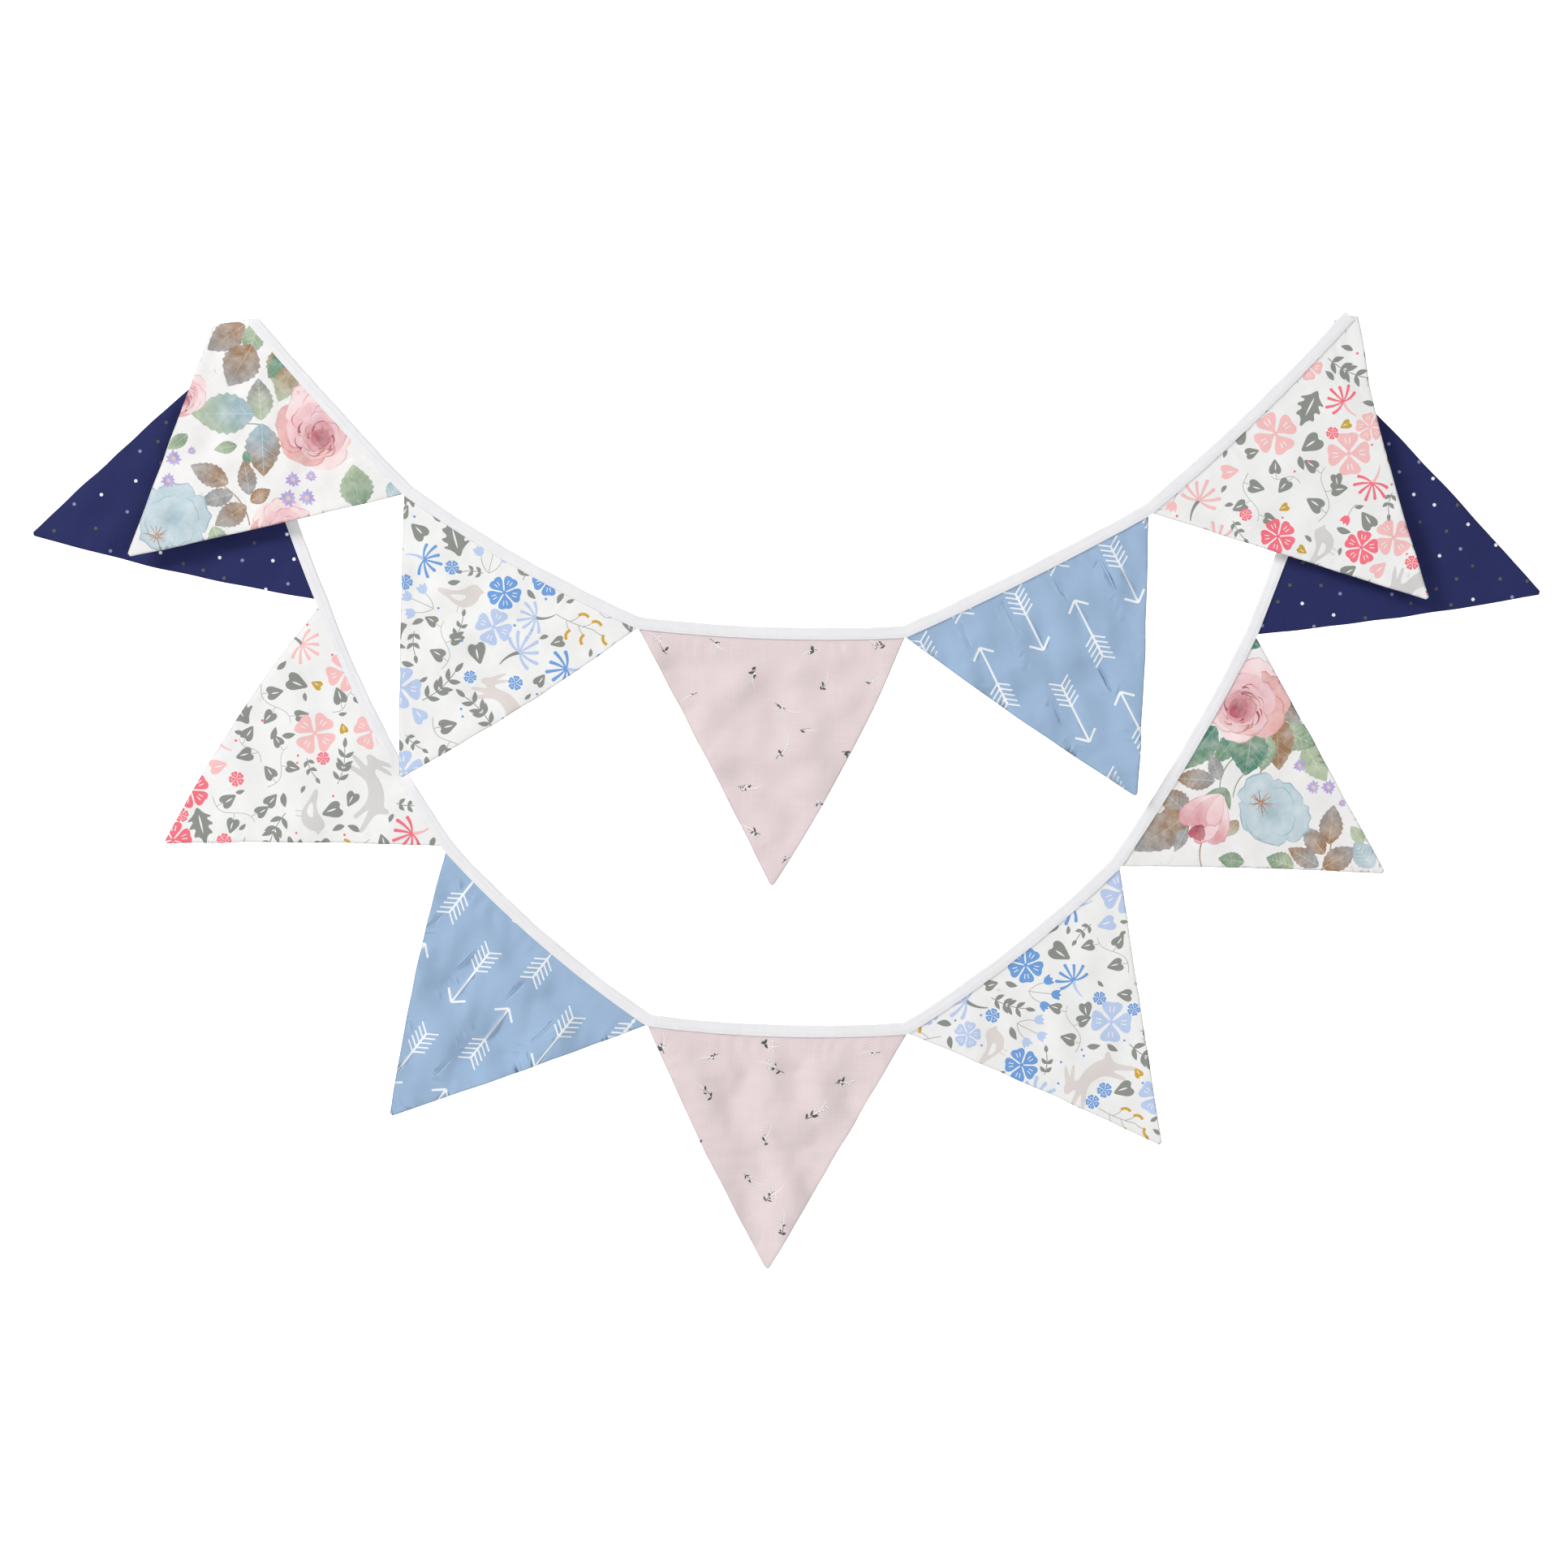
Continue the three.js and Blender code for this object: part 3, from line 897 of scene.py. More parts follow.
def daisies(rows: Iterable[tuple[float, float, float, float]]) -> Motif:
    """Daisies from rows of (radius, x, y, turn)."""
    return [shape for radius, x, y, turn in rows for shape in moved(daisy(radius), x, y, turn)]


def daisy(radius: float) -> Motif:
    """A small lilac daisy.

    Args:
        radius: of the flower.

    Returns:
        Its shapes, lowest first.
    """
    motif: Motif = []
    for index in range(10):
        petal = blade(INKS.lilac, radius * (1 - index % 3 * 0.1), radius * 0.42)
        motif.append(petal.moved(0, 0, index * 36))
    return motif + [dot(INKS.straw, radius * 0.26, radius * 0.26)]


# --- Prints ---------------------------------------------------------------------------------

# How often a motif is tried for each one wanted, and how far it may stand past the cloth's edge
TRIES = 90
OVERHANG = 10
SPOT_TRIES = 4000


@dataclass(frozen=True)
class Cloth:
    """A printed cloth. Subclasses lay out their motifs on a panel."""

    ground: Rgb

    def panel(self, plan: "PennantPlan", face: Face) -> Motif:
        """The shapes printed on one panel of a pennant, in its (along, down) millimetres.

        Args:
            plan: the pennant.
            face: which of its two panels.

        Returns:
            The shapes, lowest first.
        """
        raise NotImplementedError


@dataclass(frozen=True)
class ArrowCloth(Cloth):
    """Arrows in rows, every other one pointing the other way."""

    ground: Rgb = (156, 183, 213)
    ink: Rgb = (241, 244, 248)
    across: float = 80.0
    down: float = 77.0
    offset: tuple[float, float] = (37.5, 24.0)
    length: float = 47.0

    def panel(self, plan: "PennantPlan", face: Face) -> Motif:
        """See Cloth.panel."""
        start_x, start_y, turn = plan.print_start
        if face is Face.BACK:
            start_x, start_y, turn = start_x + 31, start_y - 22, -turn
        motif: Motif = []
        for column in range(-3, 5):
            for row in range(-3, 5):
                x, y = start_x + column * self.across, start_y + row * self.down
                tail = moved(arrow(self.length, self.ink), x, y, 90)
                head = moved(arrow(self.length, self.ink), x + self.offset[0], y + self.offset[1], -90)
                motif += tail + head
        pivot = np.array([plan.base / 2, plan.height / 3])
        return moved(moved(motif, *-pivot), *pivot, turn)


@dataclass(frozen=True)
class DotCloth(Cloth):
    """Small dots, scattered, in three inks."""

    ground: Rgb = (31, 38, 92)
    inks: tuple[Rgb, ...] = ((238, 240, 246), (132, 142, 172), (78, 80, 74), (92, 88, 76))
    gap: float = 15.5

    def panel(self, plan: "PennantPlan", face: Face) -> Motif:
        """See Cloth.panel."""
        draw = random.Random(f"{plan.name} {face.value}")
        spots: list[tuple[float, float]] = []
        for _ in range(SPOT_TRIES):
            spot = (draw.uniform(-5, plan.base + 5), draw.uniform(0, plan.height))
            if all(math.dist(spot, other) > self.gap for other in spots):
                spots.append(spot)
        return [dot(draw.choice(self.inks), 1.35, 1.35, 10).moved(x, y) for x, y in spots]


@dataclass(frozen=True)
class SprigCloth(Cloth):
    """Tiny sprigs on a plain ground."""

    ground: Rgb = (229, 213, 215)
    dark: Rgb = (88, 88, 90)
    light: Rgb = (250, 248, 248)

    def panel(self, plan: "PennantPlan", face: Face) -> Motif:
        """See Cloth.panel."""
        draw = random.Random(f"{plan.name} {face.value}")
        motif: Motif = []
        for x, y in plan.print_spots:
            x, y = (x, y) if face is Face.FRONT else (plan.base - x + 8, y + 6)
            twiglet = sprig(draw, self.dark, self.light)
            motif += moved(twiglet, x, y, draw.uniform(0, 360), draw.uniform(0.8, 1.25))
        return motif


@dataclass(frozen=True)
class RoseCloth(Cloth):
    """Roses, pale blue flowers and soft leaves."""

    ground: Rgb = (240, 239, 238)

    def panel(self, plan: "PennantPlan", face: Face) -> Motif:
        """See Cloth.panel."""
        front = face is Face.FRONT
        leafy = (plan.rose_layout is RoseLayout.LEAVES) is front
        layout = self._with_leaves() if leafy else self._with_bud()
        return layout if front else [shape.flipped(plan.base) for shape in layout]

    def _with_leaves(self) -> Motif:
        """A rose under the tape, leaves round it and a blue flower towards the tip."""
        i = INKS
        return [
            *leaves((
                (27, 3, 98, 34, 0.6, i.bark, i.ash), (33, -6, 62, 27, 0.6, i.sage, i.moss),
                (58, -8, 52, 32, 0.6, i.bark, i.sage), (66, -8, 84, 25, 0.6, i.pine, i.moss),
                (74, -4, 64, 30, 0.6, i.bark, i.sage), (42, 9, 72, 36, 0.74, i.bark, i.ash),
                (89, 42, -142, 32, 0.58, i.sage, i.ash),
            )),
            *stalks(((92, 44, 128, 24, 2.0, i.moss), (142, 101, -172, 36, 4.0, i.bark))),
            *leaves((
                (82, 42, 132, 48, 0.6, i.haze, i.sage), (91, 43, 40, 40, 0.62, i.haze, i.bark),
                (91, 68, 122, 18, 0.5, i.moss, i.sage), (98, 66, 30, 12, 0.5, i.pine, i.moss),
                (108, 92, 158, 32, 0.5, i.bark, i.ash), (116, 94, 117, 26, 0.5, i.ash, i.ash),
                (125, 86, -147, 27, 0.5, i.ash, i.bark), (129, 89, -79, 18, 0.6, i.bark, i.bark),
                (129, 93, 99, 28, 0.6, i.bark, i.ash), (60, 90, 96, 19, 0.5, i.moss, i.sage),
                (187, 31, -146, 33, 0.72, i.moss, i.sage), (196, 10, -100, 18, 0.7, i.sky, i.haze),
                (124, 122, 20, 22, 0.6, i.sage, i.moss),
            )),
            *moved(rose(33, 4, (0.3, 0.12)), 119, 14, 0), *moved(rose(25, 9), 160, 84, 0),
            *moved(rose(20, 5), 33, 73, 0), *moved(poppy(28, 3, (0.05, 0.62)), 100, 141, 0),
            *daisies((
                (6.4, 138, 54, 0), (7.2, 146, 66, 20), (7.0, 155, 55, 9), (4.8, 145, 42, 0), (6.6, 66, 110, 0),
                (6.2, 76, 124, 12), (3.6, 71, 96, 0),
            )),
        ]

    def _with_bud(self) -> Motif:
        """A rose by the tape, a bud and a blue flower below it."""
        i = INKS
        return [
            *leaves((
                (196, 6, -80, 22, 0.7, i.pine, i.moss), (149, 72, 118, 32, 0.6, i.sage, i.sage),
                (150, 48, 84, 32, 0.66, i.sage, i.moss), (170, 32, 106, 30, 0.6, i.bark, i.ash),
                (158, 42, 146, 42, 0.56, i.bark, i.bark), (142, 44, 158, 28, 0.6, i.sage, i.moss),
                (128, 8, -172, 42, 0.52, i.pine, i.moss), (134, 26, -170, 32, 0.46, i.pine, i.moss),
                (140, 32, 158, 36, 0.76, i.moss, i.pine),
            )),
            *stalks((
                (113, 31, 172, 26, 3.0, i.moss), (112, 46, 180, 24, 3.0, i.moss),
                (119, 53, 140, 24, 3.0, i.bark), (52, 42, 152, 26, 3.0, i.bark),
                (70, 131, -10, 28, 2.0, i.bark),
            )),
            *leaves((
                (94, 31, -51, 21, 0.5, i.ash, i.ash), (92, 28, -117, 30, 0.5, i.ash, i.bark),
                (60, 24, -79, 28, 0.66, i.ash, i.bark), (62, 25, -154, 52, 0.5, i.bark, i.ash),
                (51, 28, 178, 21, 0.4, i.ash, i.ash), (75, 58, 188, 16, 0.6, i.bark, i.sage),
                (94, 126, -23, 30, 0.56, i.bark, i.ash), (86, 127, -68, 26, 0.56, i.bark, i.ash),
                (76, 128, -90, 27, 0.5, i.ash, i.bark), (76, 131, 29, 30, 0.56, i.bark, i.ash),
                (50, 78, -112, 20, 0.6, i.moss, i.moss), (66, 112, -102, 22, 0.7, i.sage, i.moss),
                (96, 164, -68, 24, 0.7, i.sky, i.haze), (108, 148, -66, 16, 0.6, i.sage, i.sage),
            )),
            *moved(rose(34, 12, (-0.3, -0.08)), 158, 18, 0), *moved(poppy(28, 8, (0.07, -0.36)), 93, 76, 0),
            *moved(bud(18, 2), 68, 37, 182),
            *daisies(((5.4, 134, 77, 0), (5.6, 125, 94, 9), (6.0, 131, 104, 20), (3.4, 126, 119, 0))),
        ]


@dataclass(frozen=True)
class MeadowCloth(Cloth):
    """Flowers, leaves and pale animals, scattered so that none touch."""

    ground: Rgb = (241, 241, 240)
    bright: Rgb = (246, 116, 132)
    pale: Rgb = (246, 192, 192)
    gold: Rgb = (205, 166, 66)
    leaf: Rgb = (142, 145, 139)
    animal: Rgb = (214, 212, 211)
    stem: Rgb = (170, 171, 168)
    clearance: float = 0.9

    def _kinds(self) -> list[tuple]:
        """Each motif with its circles (x, y, radius), its count and, if it stands upright, its free turn.

        Returns:
            The rows, from the largest motif to the smallest.
        """
        g, s = self.ground, self.stem
        spot = [dot(self.bright, 1.0, 1.0)]
        return [
            (hare(48, self.animal), [(-19, -9, 8), (-9, 1, 9), (5, 2, 9), (17, 3, 8), (11, 15, 5)], 1, 25),
            (robin(30, self.animal, g), [(-8, 0, 8), (3, -3, 8), (13, 3, 5)], 1, 40),
            (vine(38, self.leaf, g, s, 3), [(5, -6, 9), (15, 5, 9), (27, -9, 9), (37, -3, 4)], 3),
            (blossom(14.5, self.pale, g, 4), [(0, 0, 13)], 3),
            (blossom(13.5, self.bright, g, 5), [(0, 0, 12.5)], 2),
            (berries(30, self.gold, s), [(10, 0, 9), (23, 0, 12), (36, 0, 6)], 2),
            (fan(13.5, self.bright, self.pale), [(1, 0, 12.5), (-13, 0, 3)], 2),
            (fan(14.0, self.pale, self.leaf), [(1, 0, 13), (-13, 0, 3)], 2),
            (jagged_leaf(31, self.leaf, g), [(8, 0, 7.5), (18, 0, 9), (28, 0, 4)], 3),
            (twig(30, self.leaf, 4, 0.4, 0.3), [(6, 0, 6.5), (17, 1, 8), (29, 0, 6)], 4),
            (vine(24, self.leaf, g, s, 2), [(6, -8, 8), (18, 9, 8), (12, 0, 4)], 3),
            (bells(8.5, self.bright, s), [(5, 0, 5), (15, -8, 6), (19, 0, 6), (14, 9, 6)], 2),
            (bells(8.5, self.pale, s), [(5, 0, 5), (15, -8, 6), (19, 0, 6), (14, 9, 6)], 2),
            (heart_leaf(17, self.leaf, g), [(7, 0, 8.5)], 4),
            (heart_leaf(15, self.pale, g), [(6, 0, 8)], 2),
            (blossom(11.0, self.pale, g, 5), [(0, 0, 10.5)], 3),
            (berries(19, self.gold, s), [(8, 0, 6), (18, 0, 8)], 2),
            (twig(17, self.leaf, 2, 0.5), [(5, 0, 5), (14, 0, 6)], 6),
            (heart_leaf(12, self.leaf, g), [(4.5, 0, 6.5)], 4),
            (blossom(5.2, self.bright, g), [(0, 0, 4.9)], 5),
            (bell(7.5, self.bright, s), [(1, 0, 6.5)], 3),
            (heart_leaf(8.5, self.gold, g), [(3, 0, 5)], 3),
            ([blade(self.leaf, 10.5, 4.6, 0.6)], [(2.6, 0, 2.8), (7.6, 0, 2.8)], 11),
            ([blade(self.leaf, 7.0, 3.2, 0.4)], [(3.5, 0, 3.4)], 10),
            (spot, [(0, 0, 1.6)], 12),
        ]

    def panel(self, plan: "PennantPlan", face: Face) -> Motif:
        """See Cloth.panel."""
        draw = random.Random(f"{plan.name} {face.value} meadow")
        taken = np.zeros((0, 3))
        motif: Motif = []
        for shapes, circles, count, *standing in self._kinds():
            freedom, upright = (standing[0], 180.0) if standing else (180.0, 0.0)
            found = 0
            for _ in range(count * TRIES):
                down = draw.uniform(-6, plan.height)
                margin = 0.5 * plan.base * max(down, 0) / plan.height
                x = draw.uniform(margin - OVERHANG, plan.base - margin + OVERHANG)
                turn = draw.uniform(-freedom, freedom) + upright
                scale = draw.uniform(0.9, 1.1)
                matrix = np.array([direction(turn), outward_of(direction(turn))]) * scale
                spots = np.array([[*(np.array(c[:2]) @ matrix + (x, down)), c[2] * scale] for c in circles])
                gaps = np.linalg.norm(spots[:, None, :2] - taken[None, :, :2], axis=2)
                if (gaps > spots[:, None, 2] + taken[None, :, 2] + self.clearance).all():
                    taken = np.vstack([taken, spots])
                    motif += moved(shapes, x, down, turn, scale)
                    found += 1
                    if found == count:
                        break
        return motif


CLOTHS: dict[PrintName, Cloth] = {
    PrintName.ROSE: RoseCloth(),
    PrintName.BLUE_FLORAL: MeadowCloth(
        bright=(112, 160, 220), pale=(188, 206, 238), gold=(212, 166, 58), animal=(224, 216, 212)
    ),
    PrintName.PINK_SPRIG: SprigCloth(),
    PrintName.ARROWS: ArrowCloth(),
    PrintName.CORAL_FLORAL: MeadowCloth(),
    PrintName.NAVY_DOTS: DotCloth(),
}


# --- The swags ------------------------------------------------------------------------------


@dataclass(frozen=True)
class PennantPlan:
    """A pennant's real sizes as sewn and hung, in millimetres and degrees."""

    name: str
    cloth: PrintName
    gap: float
    heading: float
    base: float
    height: float
    lean: float
    sag: float
    left_bow: float
    right_bow: float
    tip: float
    flare: float = 0.0
    crumple: float = 0.5
    pucker: float = 0.5
    creases: tuple[tuple[float, ...], ...] = ()
    print_start: tuple[float, float, float] = (0.0, 0.0, 0.0)
    print_spots: tuple[tuple[float, float], ...] = ()
    rose_layout: RoseLayout = RoseLayout.BUD


UPPER: tuple[PennantPlan, ...] = (
    PennantPlan("upper_1_rose", PrintName.ROSE,
                0.0, -48.1, 201.4, 182.7, 98.2, 1.8, 0.3, 1.0, 2.6,
                rose_layout=RoseLayout.LEAVES),
    PennantPlan("upper_2_blue_floral", PrintName.BLUE_FLORAL,
                0.8, -29.8, 202.4, 183.7, 103.4, 5.2, 1.1, 4.0, 3.2),
    PennantPlan("upper_3_pink_sprig", PrintName.PINK_SPRIG,
                1.0, -1.9, 200.7, 188.0, 107.0, 4.0, -0.9, 5.6, 3.6,
                crumple=1.0, pucker=0.7,
                creases=(
                    (97, 111, 28, 112, 16, -2.8), (109, 86, 3, 110, 18, 1.8), (143, 40, 37, 60, 15, -1.7),
                    (97, 114, 28, 96, 9, -1.3), (101, 103, 27, 90, 9, 0.9), (109, 88, 3, 100, 9, 0.8),
                    (110, 22, 65, 30, 8, -0.8), (141, 42, 37, 48, 9, -0.8), (60, 66, 18, 50, 10, 0.7),
                    (86, 128, 40, 52, 10, 0.7),
                ),
                print_spots=(
                    (22, 18), (54, 5), (89, 25), (46, 46), (135, 11), (186, 6), (172, 34), (139, 41), (105, 52),
                    (124, 72), (156, 87), (107, 94), (79, 116), (138, 129), (97, 151), (114, 172),
                )),
    PennantPlan("upper_4_arrows", PrintName.ARROWS,
                0.8, 26.6, 204.6, 182.4, 101.9, 2.2, 2.2, 1.5, 2.4,
                crumple=1.2, pucker=1.1, print_start=(88.5, 31.0, 0.0),
                creases=(
                    (112, 90, -8, 52, 15, -2.3), (118, 104, -16, 52, 14, 1.6), (60, 45, 35, 80, 22, 1.6),
                    (112, 91, -5, 36, 9, -1.2), (117, 99, -16, 34, 9, -0.8), (134, 66, 30, 56, 12, 0.8),
                    (86, 74, 42, 60, 12, 0.8), (150, 40, 60, 46, 10, -0.8),
                )),
    PennantPlan("upper_5_coral_floral", PrintName.CORAL_FLORAL,
                3.3, 43.9, 208.5, 188.4, 104.5, 3.6, 0.0, -2.2, 2.8, 6.3),
)
LOWER: tuple[PennantPlan, ...] = (
    PennantPlan("lower_1_navy_dots", PrintName.NAVY_DOTS,
                5.0, -71.5, 198.0, 185.4, 83.6, 3.0, 1.2, 3.6, -2.4),
    PennantPlan("lower_2_coral_floral", PrintName.CORAL_FLORAL,
                6.4, -62.9, 202.7, 181.8, 105.5, 6.2, 6.4, -2.0, 2.0),
    PennantPlan("lower_3_arrows", PrintName.ARROWS,
                5.6, -40.8, 200.3, 175.1, 98.6, 5.8, 3.8, 1.2, 2.6,
                crumple=1.5, pucker=1.2, print_start=(76.0, 58.0, -3.0),
                creases=(
                    (76, 68, -1, 96, 16, -2.6), (122, 98, -37, 76, 16, -2.3), (96, 120, 12, 60, 18, 2.0),
                    (75, 69, -1, 74, 9, -1.2), (80, 59, 2, 66, 10, 1.0), (124, 98, -37, 60, 10, -1.0),
                    (90, 20, -94, 28, 9, -0.9), (102, 27, -88, 32, 9, 0.8), (70, 32, -80, 36, 10, 0.8),
                    (84, 140, 20, 46, 10, -1.1),
                )),
    PennantPlan("lower_4_pink_sprig", PrintName.PINK_SPRIG,
                1.4, -1.8, 195.8, 178.7, 96.1, 4.8, 3.0, 0.2, 3.4,
                crumple=1.3, pucker=0.9,
                creases=(
                    (76, 40, 124, 62, 16, -2.8), (118, 88, -27, 76, 16, -2.6), (52, 30, -24, 70, 18, 2.3),
                    (112, 36, 6, 66, 16, 1.8), (75, 39, 124, 42, 9, -1.3), (119, 88, -27, 56, 9, -1.3),
                    (86, 92, -40, 30, 9, -0.9), (42, 23, 19, 36, 9, -0.8), (108, 29, -10, 32, 9, -0.8),
                    (104, 70, 30, 50, 12, 0.9),
                ),
                print_spots=(
                    (13, 20), (54, 19), (86, 10), (104, 32), (143, 38), (50, 52), (121, 66), (91, 87), (76, 109),
                    (93, 129), (106, 153), (44, 84), (176, 14),
                )),
    PennantPlan("lower_5_blue_floral", PrintName.BLUE_FLORAL,
                1.2, 38.1, 203.0, 181.6, 98.5, 5.6, -1.6, -0.4, 2.2),
    PennantPlan("lower_6_rose", PrintName.ROSE,
                1.2, 59.5, 201.0, 171.5, 96.9, 3.6, -1.6, 0.2, 2.0),
    PennantPlan("lower_7_navy_dots", PrintName.NAVY_DOTS,
                2.2, 69.6, 200.3, 187.9, 103.7, 0.8, 2.5, 1.5, -2.4),
)
UPPER_START = np.array([-6.7, 23.9])
TAIL: tuple[tuple[float, float], ...] = ((80, 13), (94, 15), (102, 24))


def inside(points: Points, outline: Points) -> Points:
    """Tells which points lie inside a closed outline.

    Args:
        points: the points.
        outline: the outline's corners.

    Returns:
        One truth value for each point.
    """
    x, y = points[:, 0:1], points[:, 1:2]
    x0, y0 = outline.T
    x1, y1 = np.roll(outline, -1, axis=0).T
    crosses = (y0 > y) != (y1 > y)
    with np.errstate(divide="ignore", invalid="ignore"):
        at = x0 + (y - y0) / (y1 - y0) * (x1 - x0)
    return (crosses & (x < at)).sum(1) % 2 == 1


def edge_distance(points: Points, outline: Points) -> tuple[Points, Points]:
    """How far points lie from a closed outline, and how far round it the nearest place is.

    Args:
        points: the points.
        outline: the outline's corners.

    Returns:
        The two distances for each point.
    """
    ends = np.roll(outline, -1, axis=0)
    spans = ends - outline
    lengths = np.linalg.norm(spans, axis=1)
    starts = np.concatenate([[0.0], np.cumsum(lengths)[:-1]])
    away = np.empty(len(points))
    round_it = np.empty(len(points))
    for first in range(0, len(points), 2000):
        part = points[first:first + 2000]
        offset = part[:, None] - outline[None]
        share = np.clip((offset * spans).sum(2) / lengths**2, 0.0, 1.0)
        gap = np.linalg.norm(offset - share[..., None] * spans, axis=2)
        best = gap.argmin(1)
        rows = np.arange(len(part))
        away[first:first + 2000] = gap[rows, best]
        round_it[first:first + 2000] = starts[best] + share[rows, best] * lengths[best]
    return away, round_it


@dataclass
class Pennant:
    """One pennant: where it is sewn in, its outline, its folds and its mesh."""

    plan: PennantPlan
    layer: Layer
    left: Points
    left_seam: Optional[Points] = None
    right_seam: Optional[Points] = None
    along: Points = field(init=False)
    down: Points = field(init=False)

    def __post_init__(self) -> None:
        """Sets the pennant's own directions in the flat layout."""
        self.along = direction(self.plan.heading)
        self.down = -outward_of(self.along)

    @property
    def turns(self) -> bool:
        """Whether the pennant reaches over the turn."""
        return self.layer is Layer.FRONT and self.left @ TURN_UP > 0

    def flat(self, points: Points) -> Points:
        """Takes (along, down) points to the swag's flat layout."""
        return self.left + points[:, 0:1] * self.along + points[:, 1:2] * self.down

    def bow(self, along: Points) -> Points:
        """How far the base line lies down at a distance along it."""
        share = np.clip(along / self.plan.base, 0.0, 1.0)
        return 4.0 * self.plan.sag * share * (1.0 - share)

    def base_point(self, share: float) -> Points:
        """A point of the base line in the flat layout."""
        along = self.plan.base * share
        return self.left + self.along * along + self.down * self.bow(np.array(along))

    def base_direction(self, share: float) -> Points:
        """The base line's direction there.

        Args:
            share: how far along the base line, from 0 to 1.

        Returns:
            A unit vector of the flat layout.
        """
        slope = 4.0 * self.plan.sag * (1.0 - 2.0 * share) / self.plan.base
        heading = self.along + self.down * slope
        return heading / np.linalg.norm(heading)

    def seam_at(self, share: float) -> Points:
        """Which way the tape's outer edge lies from the base line, per millimetre of width.

        Args:
            share: how far along the base line, from 0 to 1.

        Returns:
            The vector in the flat layout.
        """
        square = outward_of(self.base_direction(share))
        from_left = share * self.plan.base
        from_right = (1.0 - share) * self.plan.base
        seam = square.copy()
        if self.right_seam is not None:
            end = outward_of(self.base_direction(1.0))
            seam += (self.right_seam - end) * (1.0 - smooth_step(np.array(from_right / SEAM_BLEND)))
        if self.turns:
            rise = self.base_point(share) @ TURN_UP
            across = TURN_ALONG / (TURN_ALONG @ square)
            if rise > TURN_LENGTH:
                top = self.left @ TURN_UP
                return across + (self.left_seam - across) * (rise - TURN_LENGTH) / (top - TURN_LENGTH)
            return across + (seam - across) * smooth_step(np.array(-rise / TURN_BLEND))
        if self.left_seam is not None:
            end = outward_of(self.base_direction(0.0))
            seam += (self.left_seam - end) * (1.0 - smooth_step(np.array(from_left / SEAM_BLEND)))
        return seam

    def outline(self) -> Points:
        """The pennant's closed outline in (along, down) millimetres, with its margin in the tape.

        Returns:
            The outline's points.
        """
        plan = self.plan
        inset = PIECE_GAP / plan.base
        count = round(plan.base / OUTLINE_STEP)
        top = []
        for share in np.linspace(inset, 1.0 - inset, count + 1):
            seam = self.seam_at(share)
            place = np.array([plan.base * share, self.bow(np.array(plan.base * share))])
            top.append(place + np.array([seam @ self.along, seam @ self.down]) * MARGIN)
        depth = np.linspace(0.0, 1.0, round(plan.height / OUTLINE_STEP) + 1)
        arch = 4.0 * depth * (1.0 - depth)
        draw = random.Random(plan.name)
        sides = []
        for end, bow, flare in ((1.0 - inset, plan.right_bow, plan.flare), (inset, -plan.left_bow, 0.0)):
            start = np.array([plan.base * end, self.bow(np.array(plan.base * end))])
            stop = np.array([plan.lean + math.copysign(TIP_WIDTH / 2, end - 0.5), plan.height])
            side = start + (stop - start) * depth[:, None]
            wobble = sum(
                draw.uniform(0.05, 0.2) * np.sin(depth * draw.uniform(8, 40) + draw.uniform(0, 6))
                for _ in range(4)
            )
            side[:, 0] += bow * arch + flare * np.exp(-((depth / FLARE_REACH) ** 2)) + wobble * np.sqrt(arch)
            sides.append(side)
        tip = [[plan.lean + TIP_WIDTH * side, plan.height + TIP_ROUND] for side in (0.3, -0.3)]
        return np.vstack([np.array(top), sides[0], np.array(tip), sides[1][::-1]])

    def forward(self, points: Points, away: Points, round_it: Points) -> Points:
        """How far the cloth's middle surface stands towards the front.

        Args:
            points: (along, down) points.
            away: each point's distance from the pennant's edge.
            round_it: where the nearest place of the edge is, measured round it.

        Returns:
            One distance for each point.
        """
        plan = self.plan
        along, down = points.T
        free = down - self.bow(along)
        depth = down / plan.height
        middle = plan.base / 2 + (plan.lean - plan.base / 2) * depth
        side = (along - middle) / (plan.base / 2)
        height = plan.tip * depth * depth + CROWN * (1.0 - side * side)
        for row in plan.creases:
            height = height + Crease(*row).heights(points)
        seed = sum(map(ord, plan.name))
        height = height + plan.crumple * Ripples(seed, *FOLDS).heights(points)
        height = height + plan.crumple * WRINKLE_SHARE * Ripples(seed + 1, *WRINKLES).heights(points)
        held = smooth_step(free / FADE_AT_TAPE)
        flat = self.flat(points)
        on_side = smooth_step(-(flat @ TURN_UP) / FADE_AT_TURN) if self.layer is Layer.FRONT else 1.0
        warp = Ripples(seed + 2, *WARP, 8).heights(points)
        gather = np.cos(along / (GATHER_WAVE + 0.25 * math.sin(seed)) + 2.2 * warp)
        gather = gather * self._band(free, GATHER_PLACE) * (0.5 + 0.5 * np.tanh(warp))
        hem = np.cos(round_it / HEM_WAVE + 1.8 * warp) * self._band(away, HEM_PLACE)
        hem = hem * smooth_step(free / 12.0)
        puckers = plan.pucker * 0.5 * gather * smooth_step(free / 3.0)
        return (height * held + puckers + plan.pucker * 0.3 * hem) * on_side

    @staticmethod
    def _band(away: Points, place: tuple[float, float]) -> Points:
        """A soft band, 1 high, round a distance and of a width."""
        return np.exp(-(((away - place[0]) / place[1]) ** 2))

